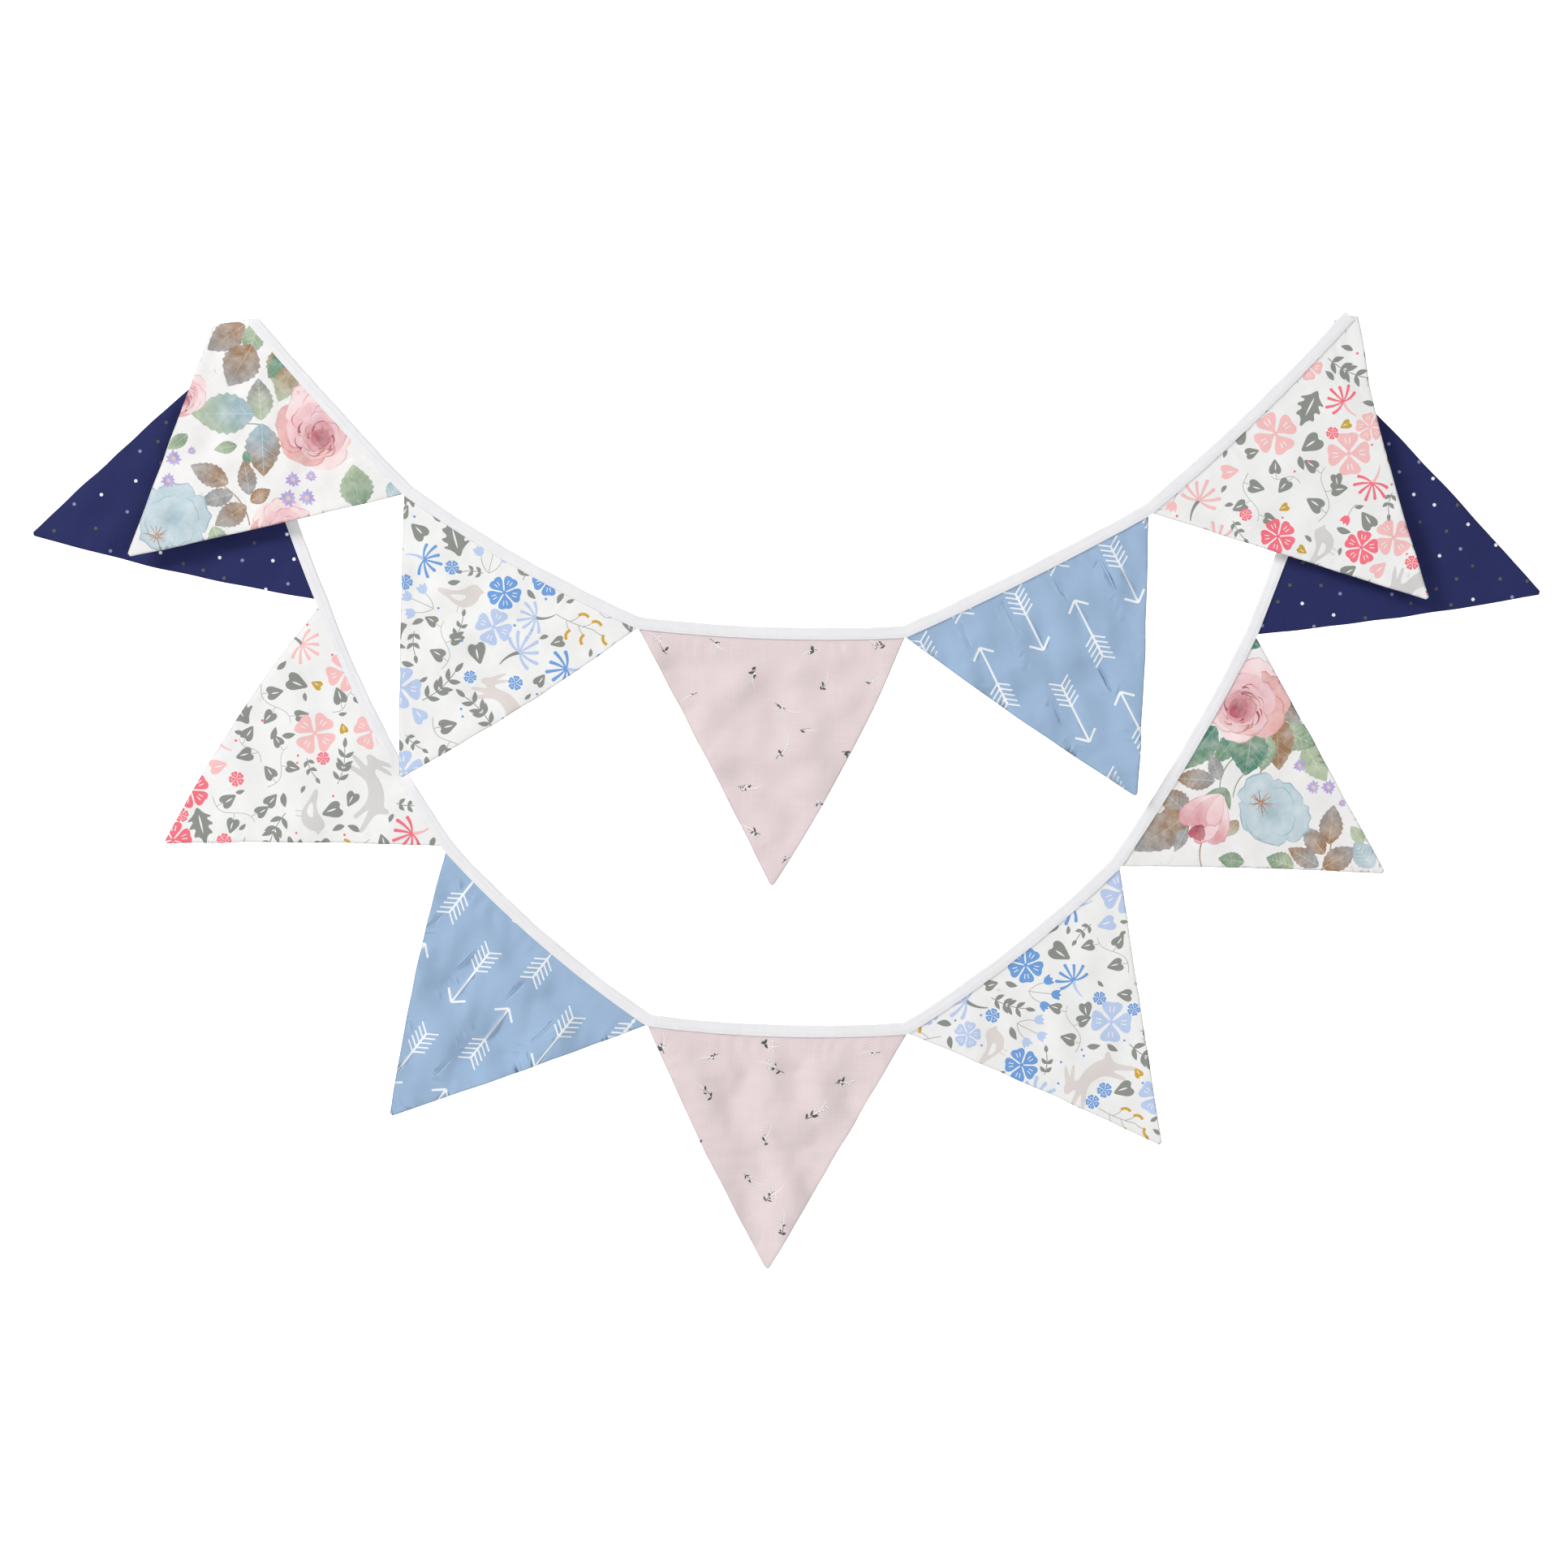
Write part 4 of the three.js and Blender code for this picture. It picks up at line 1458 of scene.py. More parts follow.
    def half_thickness(self, points: Points, away: Points) -> Points:
        """Half the cloth's thickness: round at the turned edge, with the seam's ridge inside it.

        Args:
            points: (along, down) points.
            away: each point's distance from the pennant's edge.

        Returns:
            One thickness for each point.
        """
        free = points[:, 1] - self.bow(points[:, 0])
        rim = np.sqrt(1.0 - (1.0 - np.clip(away / RIM, 0.0, 1.0)) ** 2)
        ridge = smooth_step((away - 0.4) / 1.2) * (1.0 - smooth_step((away - SEAM_WIDTH) / 1.4))
        return rim * HALF_THICK * 0.82 + SEAM_RIDGE * ridge * smooth_step((free - 1.0) / 5.0)

    def cut(self, shapes: Iterable[Shape]) -> tuple[Points, Points, Points]:
        """Cuts the panel into triangles that follow its outline and every printed shape.

        Args:
            shapes: the shapes of both panels.

        Returns:
            The points, the triangles and a mask of the points on the edge.
        """
        outline = self.outline()
        ahead = np.roll(outline, -1, axis=0) - np.roll(outline, 1, axis=0)
        inwards = np.column_stack([-ahead[:, 1], ahead[:, 0]]) / np.linalg.norm(ahead, axis=1)[:, None]
        if not inside(outline[5:6] + inwards[5:6] * 0.5, outline)[0]:
            inwards = -inwards
        loose = [outline + inwards * inset for inset in EDGE_INSETS]
        low, high = outline.min(0), outline.max(0)
        rows = np.arange(low[1], high[1], GRID_STEP * GRID_ROWS)
        columns = np.arange(low[0], high[0], GRID_STEP)
        grid = [(x + (GRID_STEP / 2 if index % 2 else 0), y) for index, y in enumerate(rows) for x in columns]
        loose.append(np.array(grid))
        if self.turns:
            columns, rows = np.arange(*FINE_ALONG, FINE_STEP), np.arange(*FINE_DOWN, FINE_STEP)
            fine = np.array([(x, y) for x in columns for y in rows])
            rise = self.flat(fine) @ TURN_UP
            loose.append(fine[(rise > -FINE_REACH) & (rise < TURN_LENGTH + FINE_REACH)])
        inner = np.vstack(loose)
        kept = inside(inner, outline)
        away, _ = edge_distance(inner, outline)
        limits = [np.full(len(part), limit) for part, limit in zip(loose, EDGE_LIMITS)]
        inner = inner[kept & (away > np.concatenate(limits))]
        loops = [outline]
        for shape in shapes:
            if inside(shape.outline, outline).any():
                loops.append(shape.outline)
        for _ in range(CUT_ROUNDS):
            corners: list[tuple[float, float]] = []
            edges: list[tuple[int, int]] = []
            for loop in loops:
                start, count = len(corners), len(loop)
                corners += [tuple(point) for point in loop]
                edges += [(start + k, start + (k + 1) % count) for k in range(count)]
            corners += [tuple(point) for point in inner]
            result = delaunay_2d_cdt([Vector(c) for c in corners], edges, [], 0, 1e-4)
            points = np.array([v[:] for v in result[0]])
            triangles = np.array(result[2])
            triangles = triangles[inside(points[triangles].mean(1), outline)]
            triangles, border, chords = self._trimmed(points, triangles)
            if not len(chords):
                break
            inner = np.vstack([inner, points[chords].mean(1)])
        used = np.unique(triangles)
        index = np.full(len(points), -1)
        index[used] = np.arange(len(used))
        mask = np.zeros(len(points), bool)
        mask[border] = True
        return points[used], index[triangles], mask[used]

    @staticmethod
    def _trimmed(points: Points, triangles: Points) -> tuple[Points, Points, Points]:
        """Drops the ears at the edge.

        Args:
            points: the panel's points.
            triangles: three indices for each triangle.

        Returns:
            The triangles, the edge's points and the inner edges that join two edge points.
        """
        for _ in range(EAR_ROUNDS):
            pairs = np.sort(np.vstack([triangles[:, [0, 1]], triangles[:, [1, 2]], triangles[:, [2, 0]]]), 1)
            kinds, back, counts = np.unique(pairs, axis=0, return_inverse=True, return_counts=True)
            border = np.unique(kinds[counts == 1])
            on_edge = np.isin(triangles, border).all(1)
            open_sides = (counts[back.ravel()] == 1).reshape(3, -1).sum(0)
            ears = on_edge & (open_sides > 0)
            if not ears.any():
                break
            triangles = triangles[~ears]
        chords = kinds[(counts == 2) & np.isin(kinds, border).all(1)]
        return triangles, border, chords

    def build(self) -> bpy.types.Object:
        """Makes the pennant's mesh with its print.

        Returns:
            The dressed object, still without its finish.
        """
        plan, cloth = self.plan, CLOTHS[self.plan.cloth]
        panels = {face: cloth.panel(plan, face) for face in Face}
        points, triangles, border = self.cut(panels[Face.FRONT] + panels[Face.BACK])
        away, round_it = edge_distance(points, self.outline())
        away[border] = 0.0
        middle = self.forward(points, away, round_it)
        half = self.half_thickness(points, away)
        half[border] = 0.0
        flat = self.flat(points)
        # From here on away only places the painted shade, which also runs along the crest of the turn
        if self.turns:
            away = np.minimum(away, np.abs(flat @ TURN_UP - TURN_LENGTH / 2) / TURN_SHADE_SPREAD)
        front = placed(self.layer, flat, middle + half)
        back = placed(self.layer, flat, middle - half)
        rear_index = np.arange(len(points))
        rear_index[~border] = len(points) + np.arange((~border).sum())
        vertices = np.vstack([front, back[~border]])
        faces = np.vstack([triangles, rear_index[triangles][:, ::-1]])
        colours = np.concatenate([
            painted(points, triangles, panels[Face.FRONT], cloth.ground, away),
            painted(points, triangles, panels[Face.BACK], cloth.ground, away)[:, ::-1],
        ])
        maps = np.concatenate([points[triangles], points[triangles][:, ::-1] + np.array(BACK_SHIFT)])
        return cloth_object(f"cloth_{plan.name}", vertices, faces, maps * UV_PER_MM, colours)


def painted(points: Points, triangles: Points, shapes: Sequence[Shape], ground: Rgb, away: Points) -> Points:
    """Gives every triangle's corners the colour of the topmost shape that covers it, with painted shade near the
    turned edge.

    Args:
        points: the panel's points.
        triangles: its triangles.
        shapes: the printed shapes, from the lowest to the topmost.
        ground: the cloth's own colour.
        away: each point's distance from the turned edge, where painted shade darkens the cloth a little.

    Returns:
        Red, green, blue and the ink's share for each corner.
    """
    centres = points[triangles].mean(1)
    top = np.full(len(triangles), -1)
    for index, shape in enumerate(shapes):
        low, high = shape.outline.min(0), shape.outline.max(0)
        near = np.flatnonzero(((centres >= low) & (centres <= high)).all(1))
        if len(near):
            top[near[inside(centres[near], shape.outline)]] = index
    colours = np.ones((len(triangles), 3, 4))
    colours[..., :3] = linear(ground)
    colours[..., 3] = (top >= 0)[:, None]
    for index in np.unique(top[top >= 0]):
        covered = top == index
        colours[covered, :, :3] = shapes[index].colours(points[triangles[covered]])
    # Painted shade: a little darker near the turned edges and along the crest of the turn
    colours[..., :3] *= 1.0 - EDGE_SHADE * (1.0 - smooth_step(away[triangles] / EDGE_SHADE_WIDTH))[..., None]
    return colours


def cloth_object(
    name: str, vertices: Points, faces: Points, maps: Points, colours: Optional[Points]
) -> bpy.types.Object:
    """Makes an object of triangles whose faces point outwards.

    Args:
        name: the piece's name.
        vertices: its points in metres.
        faces: three indices for each triangle.
        maps: each corner's place on the flat cloth.
        colours: each corner's colour, or None.

    Returns:
        The object, smooth shaded.
    """
    corners = vertices[faces]
    volume = np.einsum("ij,ij->i", corners[:, 0], np.cross(corners[:, 1], corners[:, 2])).sum()
    if volume < 0:
        faces, maps = faces[:, ::-1], maps[:, ::-1]
        colours = None if colours is None else colours[:, ::-1]
    mesh = bpy.data.meshes.new(name)
    mesh.from_pydata(vertices.tolist(), [], faces.tolist())
    layer = mesh.uv_layers.new(name="cloth")
    layer.data.foreach_set("uv", np.ascontiguousarray(maps, np.float32).ravel())
    if colours is not None:
        attribute = mesh.color_attributes.new("print", "FLOAT_COLOR", "CORNER")
        attribute.data.foreach_set("color", np.ascontiguousarray(colours, np.float32).ravel())
    mesh.shade_smooth()
    mesh.update()
    obj = bpy.data.objects.new(name, mesh)
    bpy.context.scene.collection.objects.link(obj)
    return obj


@dataclass
class Station:
    """A cut across the tape: its point on the sewn edge, and which way the outer edge lies."""

    layer: Layer
    point: Points
    seam: Points


def _span(first: Station, second: Station) -> float:
    """How far one cut's point lies from another's, in the flat layout."""
    return float(np.linalg.norm(second.point - first.point))


@dataclass
class Tape:
    """The tape that is folded over the pennants' top edges, and its stitches."""

    upper: Sequence[Pennant]
    lower: Sequence[Pennant]
    lips: tuple[tuple[float, float], ...] = (
        (0.0, 0.72), (-0.04, 0.95), (0.1, 1.14), (0.5, 1.24), (1.15, 1.25), (1.6, 1.1), (2.05, 1.24), (3.0, 1.27),
        (4.5, 1.25), (4.95, 1.12), (6.4, 1.1), (7.7, 1.06), (8.4, 0.94), (8.9, 0.68), (9.13, 0.36),
    )
    pocket: tuple[tuple[float, float], ...] = ((8.2, 0.3), (7.7, 0.6))
    stations: list[Station] = field(default_factory=list)

    def _walk(self) -> None:
        """Sets the cuts from the upper swag's right end, round the turn, to the tail's end."""
        last = self.upper[-1]
        ahead = last.base_direction(1.0)
        self._add(Layer.FRONT, last.base_point(1.0) + ahead * END_FOLD, outward_of(ahead))
        for pennant in reversed(self.upper):
            steps = round(pennant.plan.base / (TURN_STEP if pennant.turns else STATION_STEP))
            for step in range(steps, -1, -1):
                self._add(pennant.layer, pennant.base_point(step / steps), pennant.seam_at(step / steps))
        for pennant in self.lower:
            steps = round(pennant.plan.base / STATION_STEP)
            for step in range(steps + 1):
                self._add(pennant.layer, pennant.base_point(step / steps), pennant.seam_at(step / steps))
        tip = self.lower[-1]
        corner, seam = tip.base_point(1.0), tip.seam_at(1.0)
        for index, (turn, length) in enumerate(TAIL):
            following = direction(TAIL[index + 1][0]) if index + 1 < len(TAIL) else direction(turn)
            end_seam = mitre(direction(turn), following)
            for step in range(1, TAIL_STEPS + 1):
                share = step / TAIL_STEPS
                point = corner + direction(turn) * length * share
                self._add(Layer.REAR, point, seam + (end_seam - seam) * share)
            corner, seam = corner + direction(turn) * length, end_seam

    def _add(self, layer: Layer, point: Points, seam: Points) -> None:
        """Adds a cut across the tape."""
        self.stations.append(Station(layer, point, seam))

    def length(self) -> float:
        """The tape's length along its path, in millimetres."""
        return sum(_span(a, b) for a, b in zip(self.stations, self.stations[1:]) if a.layer is b.layer)

    def build(self) -> bpy.types.Object:
        """Makes the tape's mesh.

        Returns:
            The object.
        """
        self._walk()
        side = np.array(self.lips)
        fold = np.array([[TAPE_WIDTH, 0.0]])
        outer = np.vstack([side, fold, (side * [1, -1])[::-1]])
        pocket = np.array(self.pocket)
        inner = np.vstack([(pocket * [1, -1])[::-1], [[8.35, 0.0]], pocket])
        section = np.vstack([outer, inner])
        count = len(section)
        steps = zip(self.stations, self.stations[1:])
        travel = np.cumsum([0.0] + [_span(a, b) if a.layer is b.layer else STATION_STEP for a, b in steps])
        round_it = np.concatenate([[0.0], np.cumsum(np.linalg.norm(np.diff(section, axis=0), axis=1))])
        rings = []
        for station, length in zip(self.stations, travel):
            lift = 1.0 + 0.05 * math.sin(length / 3.1 + 2.0 * math.sin(length / 47))
            lift += 0.03 * math.sin(length / 1.3)
            edge = 0.16 * math.sin(length / 13.0 + 1.5 * math.sin(length / 61.0))
            edge += 0.1 * math.sin(length / 5.7)
            flip = -1.0 if station.layer is Layer.REAR else 1.0
            widths = section[:, 0] + edge * np.clip(section[:, 0] / TAPE_WIDTH, 0, 1) ** 2
            depths = section[:, 1] * np.where(np.arange(count) < len(outer), lift, 1.0) * flip
            rings.append(placed(station.layer, station.point + widths[:, None] * station.seam, depths))
        vertices = np.vstack(rings)
        faces, maps = [], []
        for ring in range(len(rings) - 1):
            for k in range(count):
                a, b = ring * count + k, ring * count + (k + 1) % count
                width = float(np.linalg.norm(section[(k + 1) % count] - section[k]))
                u0, u1 = round_it[k], round_it[k] + width
                v0, v1 = travel[ring], travel[ring + 1]
                faces += [(a, b, b + count), (a, b + count, a + count)]
                maps += [((v0, u0), (v0, u1), (v1, u1)), ((v0, u0), (v1, u1), (v1, u0))]
        for ring in (0, len(rings) - 1):
            corners = [Vector(p) for p in section]
            cap = delaunay_2d_cdt(corners, [(k, (k + 1) % count) for k in range(count)], [], 1, 1e-6)
            for triangle in cap[2]:
                kept = [cap[3][k][0] for k in triangle]
                kept = kept if ring else kept[::-1]
                faces.append(tuple(ring * count + k for k in kept))
                maps.append(tuple(tuple(section[k]) for k in kept))
        return cloth_object("tape_cloth", vertices, np.array(faces), np.array(maps) * UV_PER_MM, None)

    def stitches(self) -> bpy.types.Object:
        """Makes the line of stitches on both faces of the tape.

        Returns:
            The object.
        """
        knots = np.array([station.point + station.seam * STITCH_LINE for station in self.stations])
        vertices: list[Points] = []
        faces: list[tuple[int, int, int]] = []
        carried = 0.0
        for first, (before, after) in enumerate(zip(self.stations, self.stations[1:])):
            if before.layer is not after.layer:
                continue
            start, span = knots[first], knots[first + 1] - knots[first]
            length = float(np.linalg.norm(span))
            at = STITCH_PITCH - carried
            while at <= length:
                heading = span / length
                for sign in (-1.0, 1.0):
                    self._stitch(before.layer, start + heading * at, heading, sign, vertices, faces)
                at += STITCH_PITCH
            carried = (carried + length) % STITCH_PITCH
        maps = np.zeros((len(faces), 3, 2))
        return cloth_object("tape_stitches", np.vstack(vertices), np.array(faces), maps, None)

    @staticmethod
    def _stitch(
        layer: Layer, point: Points, heading: Points, sign: float, vertices: list, faces: list
    ) -> None:
        """Adds one stitch: a short thread, thin at both ends, that lies on the tape.

        Args:
            layer: where the tape lies.
            point: the stitch's middle.
            heading: which way it runs.
            sign: 1 on the front face and -1 on the back.
            vertices: gets the points.
            faces: gets the triangles.
        """
        side = outward_of(heading)
        start = sum(len(part) for part in vertices)
        flat, depth = [], []
        for along, radius, height in STITCH_RINGS:
            for corner in range(4):
                angle = math.tau * (corner + 0.5) / 4
                flat.append(point + heading * along + side * radius * math.cos(angle))
                depth.append(sign * (height + radius * math.sin(angle)))
        vertices.append(placed(layer, np.array(flat), np.array(depth)))
        for ring in range(3):
            for k in range(4):
                a, b = start + ring * 4 + k, start + ring * 4 + (k + 1) % 4
                quad = (a, b, b + 4, a + 4) if sign > 0 else (a, a + 4, b + 4, b)
                faces += [(quad[0], quad[1], quad[2]), (quad[0], quad[2], quad[3])]
        ends = ((start, start + 3, start + 2, start + 1), (start + 12, start + 13, start + 14, start + 15))
        for quad in ends:
            quad = quad if sign > 0 else quad[::-1]
            faces += [(quad[0], quad[1], quad[2]), (quad[0], quad[2], quad[3])]


@dataclass
class Bunting:
    """The whole string: both swags and the tape that joins them."""

    upper: list[Pennant] = field(init=False)
    lower: list[Pennant] = field(init=False)

    def __post_init__(self) -> None:
        """Lays out both swags and sets where their stretches of tape meet."""
        self.upper = self._laid_out(UPPER, UPPER_START, Layer.FRONT)
        arriving = mirrored(-self.upper[0].base_direction(0.0))
        heading = arriving + direction(LOWER[0].heading)
        start = past_turn(self.upper[0].left) + heading / np.linalg.norm(heading) * LOWER[0].gap
        self.lower = self._laid_out(LOWER, start, Layer.REAR)
        for swag in (self.upper, self.lower):
            for before, after in zip(swag, swag[1:]):
                before.right_seam = mitre(before.base_direction(1.0), after.base_direction(0.0))
                after.left_seam = before.right_seam
        meeting = mitre(arriving, self.lower[0].base_direction(0.0))
        self.lower[0].left_seam = meeting
        self.upper[0].left_seam = mirrored(meeting)

    @staticmethod
    def _laid_out(plans: Sequence[PennantPlan], start: Points, layer: Layer) -> list[Pennant]:
        """Walks along a swag's base line and sets out each pennant.

        Args:
            plans: what each pennant is like.
            start: the first one's left end.
            layer: where the swag hangs.

        Returns:
            The pennants, from left to right.
        """
        corner, swag = start.copy(), []
        for index, plan in enumerate(plans):
            if index:
                corner = corner + direction((plan.heading + plans[index - 1].heading) / 2) * plan.gap
            swag.append(Pennant(plan, layer, corner))
            corner = corner + direction(plan.heading) * plan.base
        return swag


# --- Finishes -------------------------------------------------------------------------------

BUMP_DEPTH = 0.00012


class Nodes:
    """Short ways to add and join shader nodes in one tree."""

    def __init__(self, tree: bpy.types.NodeTree) -> None:
        """Keeps the tree."""
        self.tree = tree

    def add(self, kind: str, inputs: Optional[dict] = None, **settings: object) -> bpy.types.Node:
        """Adds a node.

        Args:
            kind: the node's type name.
            inputs: values or sockets for its inputs, by name or number.
            settings: its own properties.

        Returns:
            The node.
        """
        node = self.tree.nodes.new(kind)
        for name, value in settings.items():
            setattr(node, name, value)
        for key, value in (inputs or {}).items():
            if isinstance(value, bpy.types.NodeSocket):
                self.tree.links.new(value, node.inputs[key])
            else:
                node.inputs[key].default_value = value
        return node

    def math(self, operation: str, *values: object) -> bpy.types.NodeSocket:
        """Adds a Math node and returns its output."""
        return self.add("ShaderNodeMath", dict(enumerate(values)), operation=operation).outputs[0]


def new_group(name: str, inputs: Sequence[tuple[str, str]], outputs: Sequence[tuple[str, str]]) -> tuple:
    """Starts a node group.

    Args:
        name: the group's name.
        inputs: each input's name and socket type.
        outputs: each output's name and socket type.

    Returns:
        The group, its nodes helper, its input node and its output node.
    """
    group = bpy.data.node_groups.new(name, "ShaderNodeTree")
    for label, kind in inputs:
        group.interface.new_socket(name=label, in_out="INPUT", socket_type=kind)
    for label, kind in outputs:
        group.interface.new_socket(name=label, in_out="OUTPUT", socket_type=kind)
    nodes = Nodes(group)
    return group, nodes, nodes.add("NodeGroupInput"), nodes.add("NodeGroupOutput")


def weave_group() -> bpy.types.NodeTree:
    """Plain woven cloth: yarns over and under each other, thicker and thinner along their way.

    Returns:
        The node group, which gives a height and a shade.
    """
    group, nodes, given, out = new_group(
        "plain_weave",
        [("Cloth", "NodeSocketVector"), ("Yarn", "NodeSocketFloat"), ("Slub", "NodeSocketFloat")],
        [("Height", "NodeSocketFloat"), ("Shade", "NodeSocketFloat")],
    )
    place = nodes.add("ShaderNodeSeparateXYZ", {0: given.outputs["Cloth"]})
    waves = []
    for axis in ("X", "Y"):
        turns = nodes.math("DIVIDE", place.outputs[axis], given.outputs["Yarn"])
        waves.append(nodes.math("SINE", nodes.math("MULTIPLY", turns, math.pi)))
    weave = nodes.math("MULTIPLY", waves[0], waves[1])
    streaks = []
    for scale in ((0.035, 1.3, 1.0), (1.3, 0.035, 1.0)):
        stretched = nodes.add("ShaderNodeMapping", {"Vector": given.outputs["Cloth"], "Scale": scale})
        noise = {"Vector": stretched.outputs[0], "Scale": 1.0, "Detail": 3.0}
        streaks.append(nodes.add("ShaderNodeTexNoise", noise))
    streak = nodes.math("SUBTRACT", nodes.math("ADD", streaks[0].outputs[0], streaks[1].outputs[0]), 1.0)
    slub = nodes.math("MULTIPLY", streak, given.outputs["Slub"])
    height = nodes.math("ADD", nodes.math("MULTIPLY", weave, 0.35), nodes.math("MULTIPLY", slub, 2.0))
    noise = {"Vector": given.outputs["Cloth"], "Scale": 0.035, "Detail": 3.0}
    blotch = nodes.add("ShaderNodeTexNoise", noise)
    soft = nodes.math("MULTIPLY", nodes.math("SUBTRACT", blotch.outputs[0], 0.5), 0.09)
    # Painted light and shade: lighter where the weave stands high and darker where it dips; the slub streaks and
    # the soft blotches lighten and darken it along the yarns and in patches
    tone = nodes.math("ADD", nodes.math("MULTIPLY", weave, 0.02), nodes.math("MULTIPLY", slub, 0.22))
    shade = nodes.math("ADD", nodes.math("ADD", tone, soft), 1.0)
    nodes.tree.links.new(height, out.inputs["Height"])
    nodes.tree.links.new(shade, out.inputs["Shade"])
    return group


def wash_group() -> bpy.types.NodeTree:
    """Soft print: the ink pools and thins like watercolour, and lets the ground through.

    Returns:
        The node group, which gives a colour.
    """
    group, nodes, given, out = new_group(
        "watercolour",
        [
            ("Cloth", "NodeSocketVector"), ("Print", "NodeSocketColor"),
            ("Ink", "NodeSocketFloat"), ("Depth", "NodeSocketFloat"),
        ],
        [("Colour", "NodeSocketColor")],
    )
    noise = {"Vector": given.outputs["Cloth"], "Scale": 0.11, "Detail": 4.0, "Roughness": 0.62}
    pools = nodes.add("ShaderNodeTexNoise", noise)
    thin = nodes.add("ShaderNodeMapRange", {"Value": pools.outputs[0], "From Min": 0.38, "From Max": 0.7})
    inked = nodes.math("MULTIPLY", thin.outputs[0], given.outputs["Ink"])
    share = nodes.math("MULTIPLY", inked, given.outputs["Depth"])
    mixed = {0: share, 6: given.outputs["Print"], 7: (0.93, 0.92, 0.91, 1)}
    lighter = nodes.add("ShaderNodeMix", mixed, data_type="RGBA")
    nodes.tree.links.new(lighter.outputs[2], out.inputs["Colour"])
    return group


@dataclass(frozen=True)
class ClothFinish:
    """A matte woven cloth, printed or plain."""

    name: str
    colour: Optional[Rgb] = None
    yarn: float = 0.42
    slub: float = 0.35
    bump: float = 0.25
    roughness: float = 0.86
    sheen: float = 0.12
    wash: float = 0.0
    specular: float = 0.3

    def material(self, weave: bpy.types.NodeTree, wash: bpy.types.NodeTree) -> bpy.types.Material:
        """Makes the finish's material.

        Args:
            weave: the group for woven cloth.
            wash: the group for soft print.

        Returns:
            The material.
        """
        material = bpy.data.materials.new(self.name)
        material.use_nodes = True
        nodes, links = Nodes(material.node_tree), material.node_tree.links
        shader = material.node_tree.nodes["Principled BSDF"]
        uv = nodes.add("ShaderNodeUVMap", uv_map="cloth")
        cloth = nodes.add("ShaderNodeMapping", {"Vector": uv.outputs[0], "Scale": (1 / UV_PER_MM,) * 3})
        woven = nodes.add("ShaderNodeGroup", node_tree=weave)
        links.new(cloth.outputs[0], woven.inputs["Cloth"])
        woven.inputs["Yarn"].default_value = self.yarn
        woven.inputs["Slub"].default_value = self.slub
        if self.colour is None:
            ink = nodes.add("ShaderNodeAttribute", attribute_name="print", attribute_type="GEOMETRY")
            colour = ink.outputs["Color"]
            if self.wash:
                washed = nodes.add("ShaderNodeGroup", node_tree=wash)
                sockets = {"Cloth": cloth.outputs[0], "Print": colour, "Ink": ink.outputs["Alpha"]}
                for label, socket in sockets.items():
                    links.new(socket, washed.inputs[label])
                washed.inputs["Depth"].default_value = self.wash
                colour = washed.outputs["Colour"]
        else:
            colour = (*linear(self.colour), 1.0)
        mixed = {0: 1.0, 6: colour, 7: woven.outputs["Shade"]}
        shaded = nodes.add("ShaderNodeMix", mixed, data_type="RGBA", blend_type="MULTIPLY")
        relief = {"Strength": self.bump, "Distance": BUMP_DEPTH, "Height": woven.outputs["Height"]}
        links.new(shaded.outputs[2], shader.inputs["Base Color"])
        links.new(nodes.add("ShaderNodeBump", relief).outputs[0], shader.inputs["Normal"])
        for label, value in (
            ("Roughness", self.roughness), ("Sheen Weight", self.sheen), ("Sheen Roughness", 0.45),
            ("Specular IOR Level", self.specular),
        ):
            shader.inputs[label].default_value = value
        return material


FINISHES: dict[PrintName, ClothFinish] = {
    PrintName.ROSE: ClothFinish("rose_cotton", wash=0.3),
    PrintName.BLUE_FLORAL: ClothFinish("blue_meadow_cotton"),
    PrintName.PINK_SPRIG: ClothFinish("pink_sprig_cotton", slub=0.55),
    PrintName.ARROWS: ClothFinish("arrow_cotton", roughness=0.78, specular=0.4),
    PrintName.CORAL_FLORAL: ClothFinish("coral_meadow_cotton"),
    PrintName.NAVY_DOTS: ClothFinish("navy_dot_cotton", roughness=0.8, sheen=0.06),
}
TAPE_FINISH = ClothFinish("white_cotton_tape", colour=(238, 238, 240), yarn=0.36, bump=0.35)
THREAD_FINISH = ClothFinish("white_thread", colour=(243, 243, 244), yarn=0.3, bump=0.1)


# --- Studio ---------------------------------------------------------------------------------


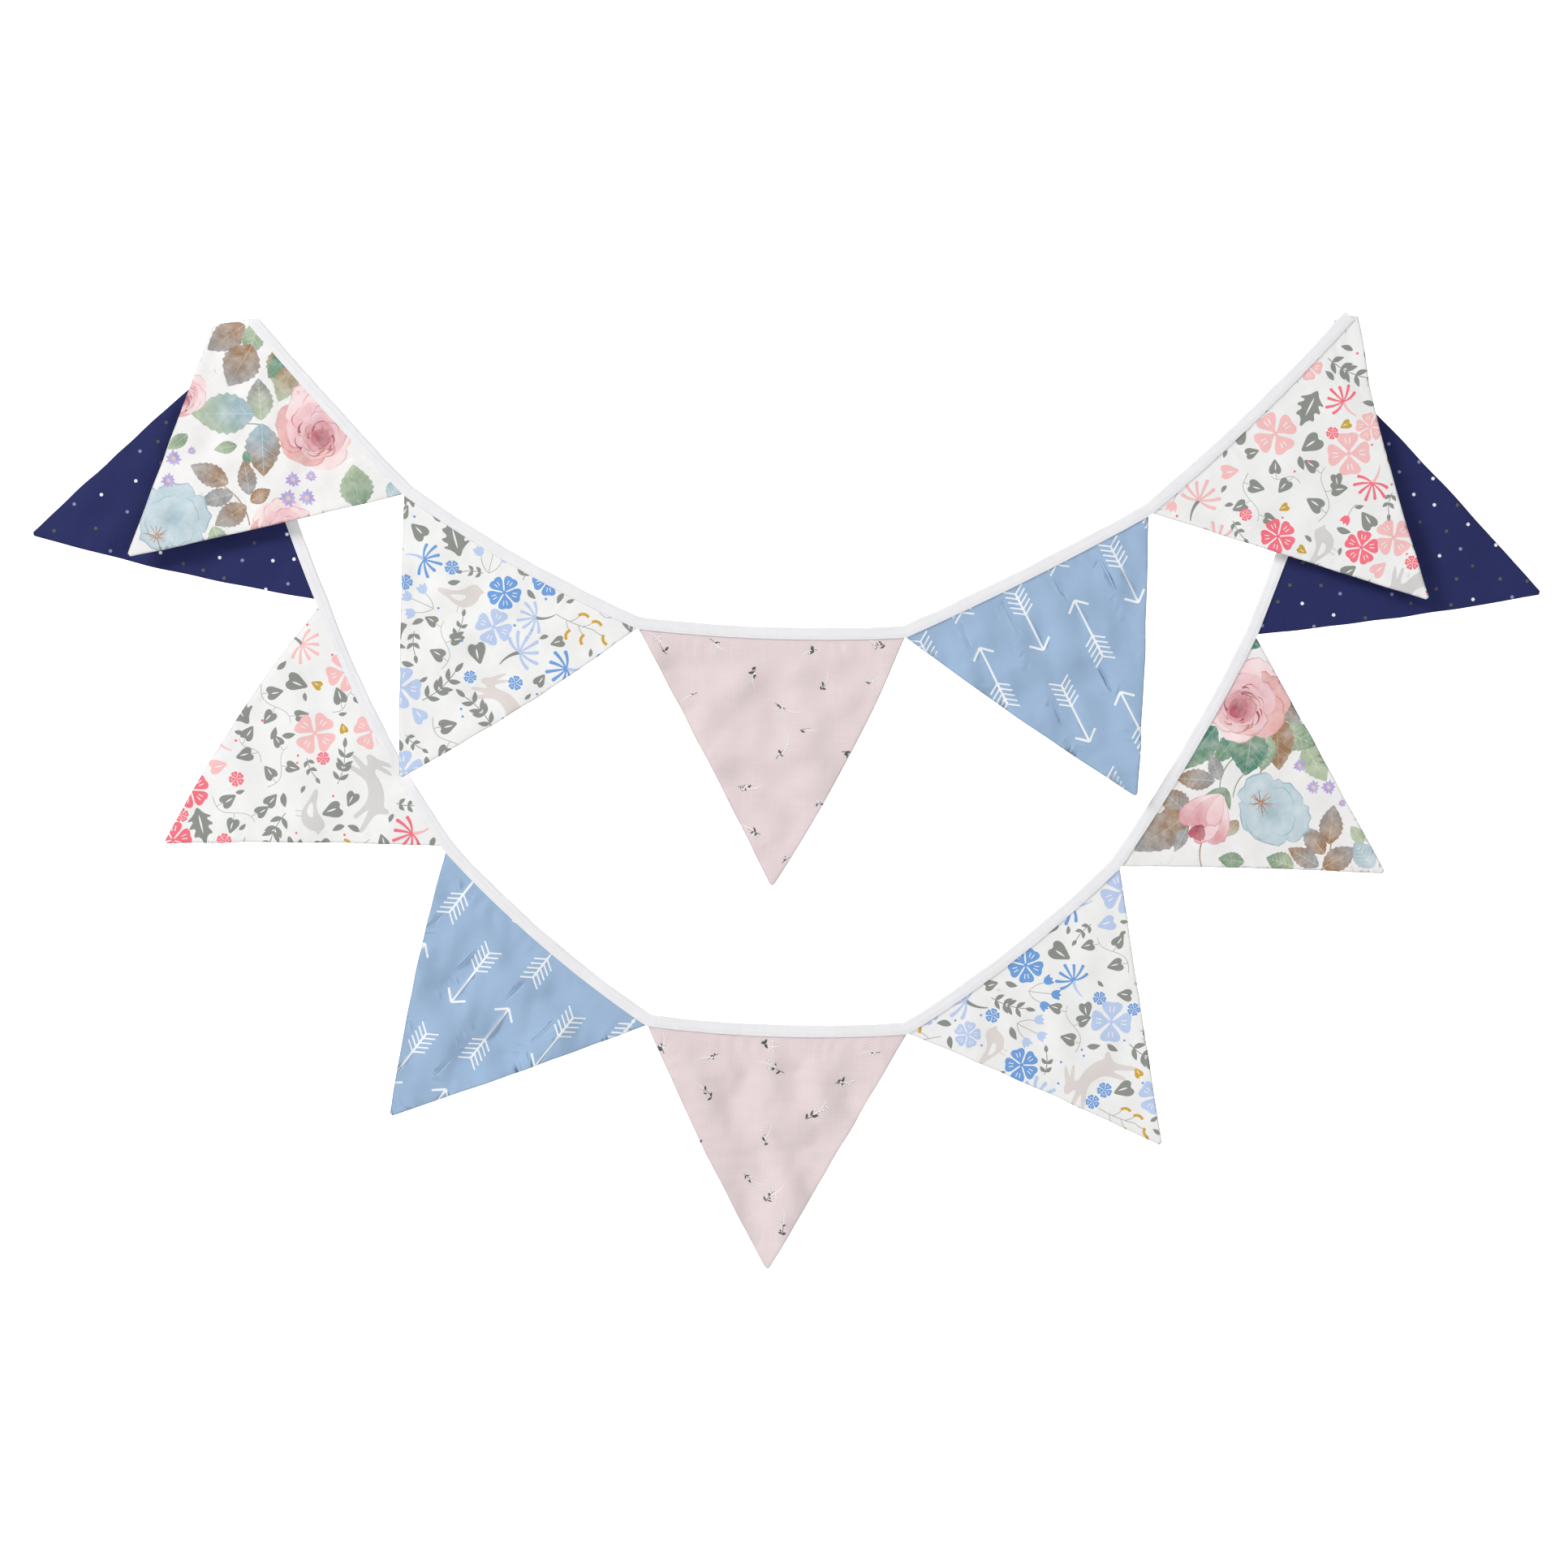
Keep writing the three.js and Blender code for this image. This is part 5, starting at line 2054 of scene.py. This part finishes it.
@dataclass(frozen=True)
class Studio:
    """A pale floor that curves up behind, soft light and the camera."""

    aim: tuple[float, float, float] = (0.41466, 0.0, -0.34372)
    distance: float = 2.79
    lens: float = 85.0
    floor: float = -1.12
    back: float = 4.6
    bend: float = 1.2
    front: float = -7.0
    top: float = 3.6
    sides: tuple[float, float] = (-6.0, 7.0)
    glow: float = 0.14

    def build(self) -> None:
        """Sets up the backdrop, the lights, the world and the camera."""
        self._backdrop()
        self._light("key", (-2.6, -2.0, 2.1), self.aim, 1.4, 151.0)
        self._light("fill", (2.8, -2.4, 0.2), self.aim, 2.4, 38.0)
        self._light("wall_wash", (0.4, 1.8, 2.8), (0.4, self.back, 0.4), 3.0, 120.0, 110.0)
        self._light("floor_wash", (0.4, 2.3, 3.0), (0.4, 2.3, self.floor), 2.0, 60.0, 66.0)
        world = bpy.data.worlds.new("studio")
        world.use_nodes = True
        sky = world.node_tree.nodes["Background"].inputs
        sky[0].default_value, sky[1].default_value = (1.0, 1.0, 1.0, 1.0), self.glow
        scene = bpy.context.scene
        scene.world = world
        scene.view_settings.view_transform = "Standard"
        camera = bpy.data.cameras.new("camera")
        camera.lens = self.lens
        camera.clip_end = 40.0
        obj = bpy.data.objects.new("camera", camera)
        obj.location = (self.aim[0], self.aim[1] - self.distance, self.aim[2])
        obj.rotation_euler = (math.pi / 2, 0.0, 0.0)
        scene.collection.objects.link(obj)
        scene.camera = obj

    def _light(
        self, name: str, place: Sequence[float], aim: Sequence[float], size: float, power: float,
        spread: float = 180.0,
    ) -> None:
        """Adds a soft square light of a size and power that faces a point and spreads by an angle in degrees.

        Args:
            name: the light's name.
            place: where it stands.
            aim: the point that it faces.
            size: of its side.
            power: in watts.
            spread: in degrees.
        """
        lamp = bpy.data.lights.new(name, "AREA")
        lamp.shape, lamp.size, lamp.energy, lamp.spread = "SQUARE", size, power, math.radians(spread)
        obj = bpy.data.objects.new(name, lamp)
        obj.location = place
        obj.rotation_euler = (Vector(aim) - Vector(place)).to_track_quat("-Z", "Y").to_euler()
        bpy.context.scene.collection.objects.link(obj)

    def _backdrop(self) -> None:
        """Makes the floor, which curves up into a far wall."""
        foot, rise = self.back - self.bend, self.floor + self.bend
        profile = [(self.front, self.floor), (foot, self.floor)]
        for step in range(1, 12):
            angle = math.pi / 2 * step / 12
            profile.append((foot + self.bend * math.sin(angle), rise - self.bend * math.cos(angle)))
        profile += [(self.back, rise), (self.back, self.top)]
        vertices = [(x, y, z) for y, z in profile for x in self.sides]
        faces = [(2 * k, 2 * k + 1, 2 * k + 3, 2 * k + 2) for k in range(len(profile) - 1)]
        mesh = bpy.data.meshes.new("backdrop")
        mesh.from_pydata(vertices, [], faces)
        mesh.shade_smooth()
        obj = bpy.data.objects.new("backdrop", mesh)
        material = bpy.data.materials.new("backdrop_paper")
        material.use_nodes = True
        shader = material.node_tree.nodes["Principled BSDF"]
        shader.inputs["Base Color"].default_value = (0.94, 0.94, 0.94, 1.0)
        shader.inputs["Roughness"].default_value = 0.95
        mesh.materials.append(material)
        bpy.context.scene.collection.objects.link(obj)


def main() -> None:
    """Builds, dresses and reports every piece."""
    logging.basicConfig(level=logging.INFO, format="%(message)s")
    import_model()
    bunting = Bunting()
    weave, wash = weave_group(), wash_group()
    materials = {name: finish.material(weave, wash) for name, finish in FINISHES.items()}
    tape = Tape(bunting.upper, bunting.lower)
    tape_piece = tape.build()
    tape_piece.data.materials.append(TAPE_FINISH.material(weave, wash))
    stitches = tape.stitches()
    stitches.data.materials.append(THREAD_FINISH.material(weave, wash))
    for piece in (tape_piece, stitches):
        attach(piece, "root")
    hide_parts("tape")
    length = tape.length()
    LOG.info("tape %.0f mm, %d triangles", length, len(tape_piece.data.polygons))
    for pennant in [*bunting.upper, *bunting.lower]:
        plan = pennant.plan
        piece = pennant.build()
        piece.data.materials.append(materials[plan.cloth])
        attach(piece, "root")
        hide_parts(plan.name)
        LOG.info("%s: %d triangles", piece.name, len(piece.data.polygons))
    Studio().build()


if __name__ == "__main__":
    main()
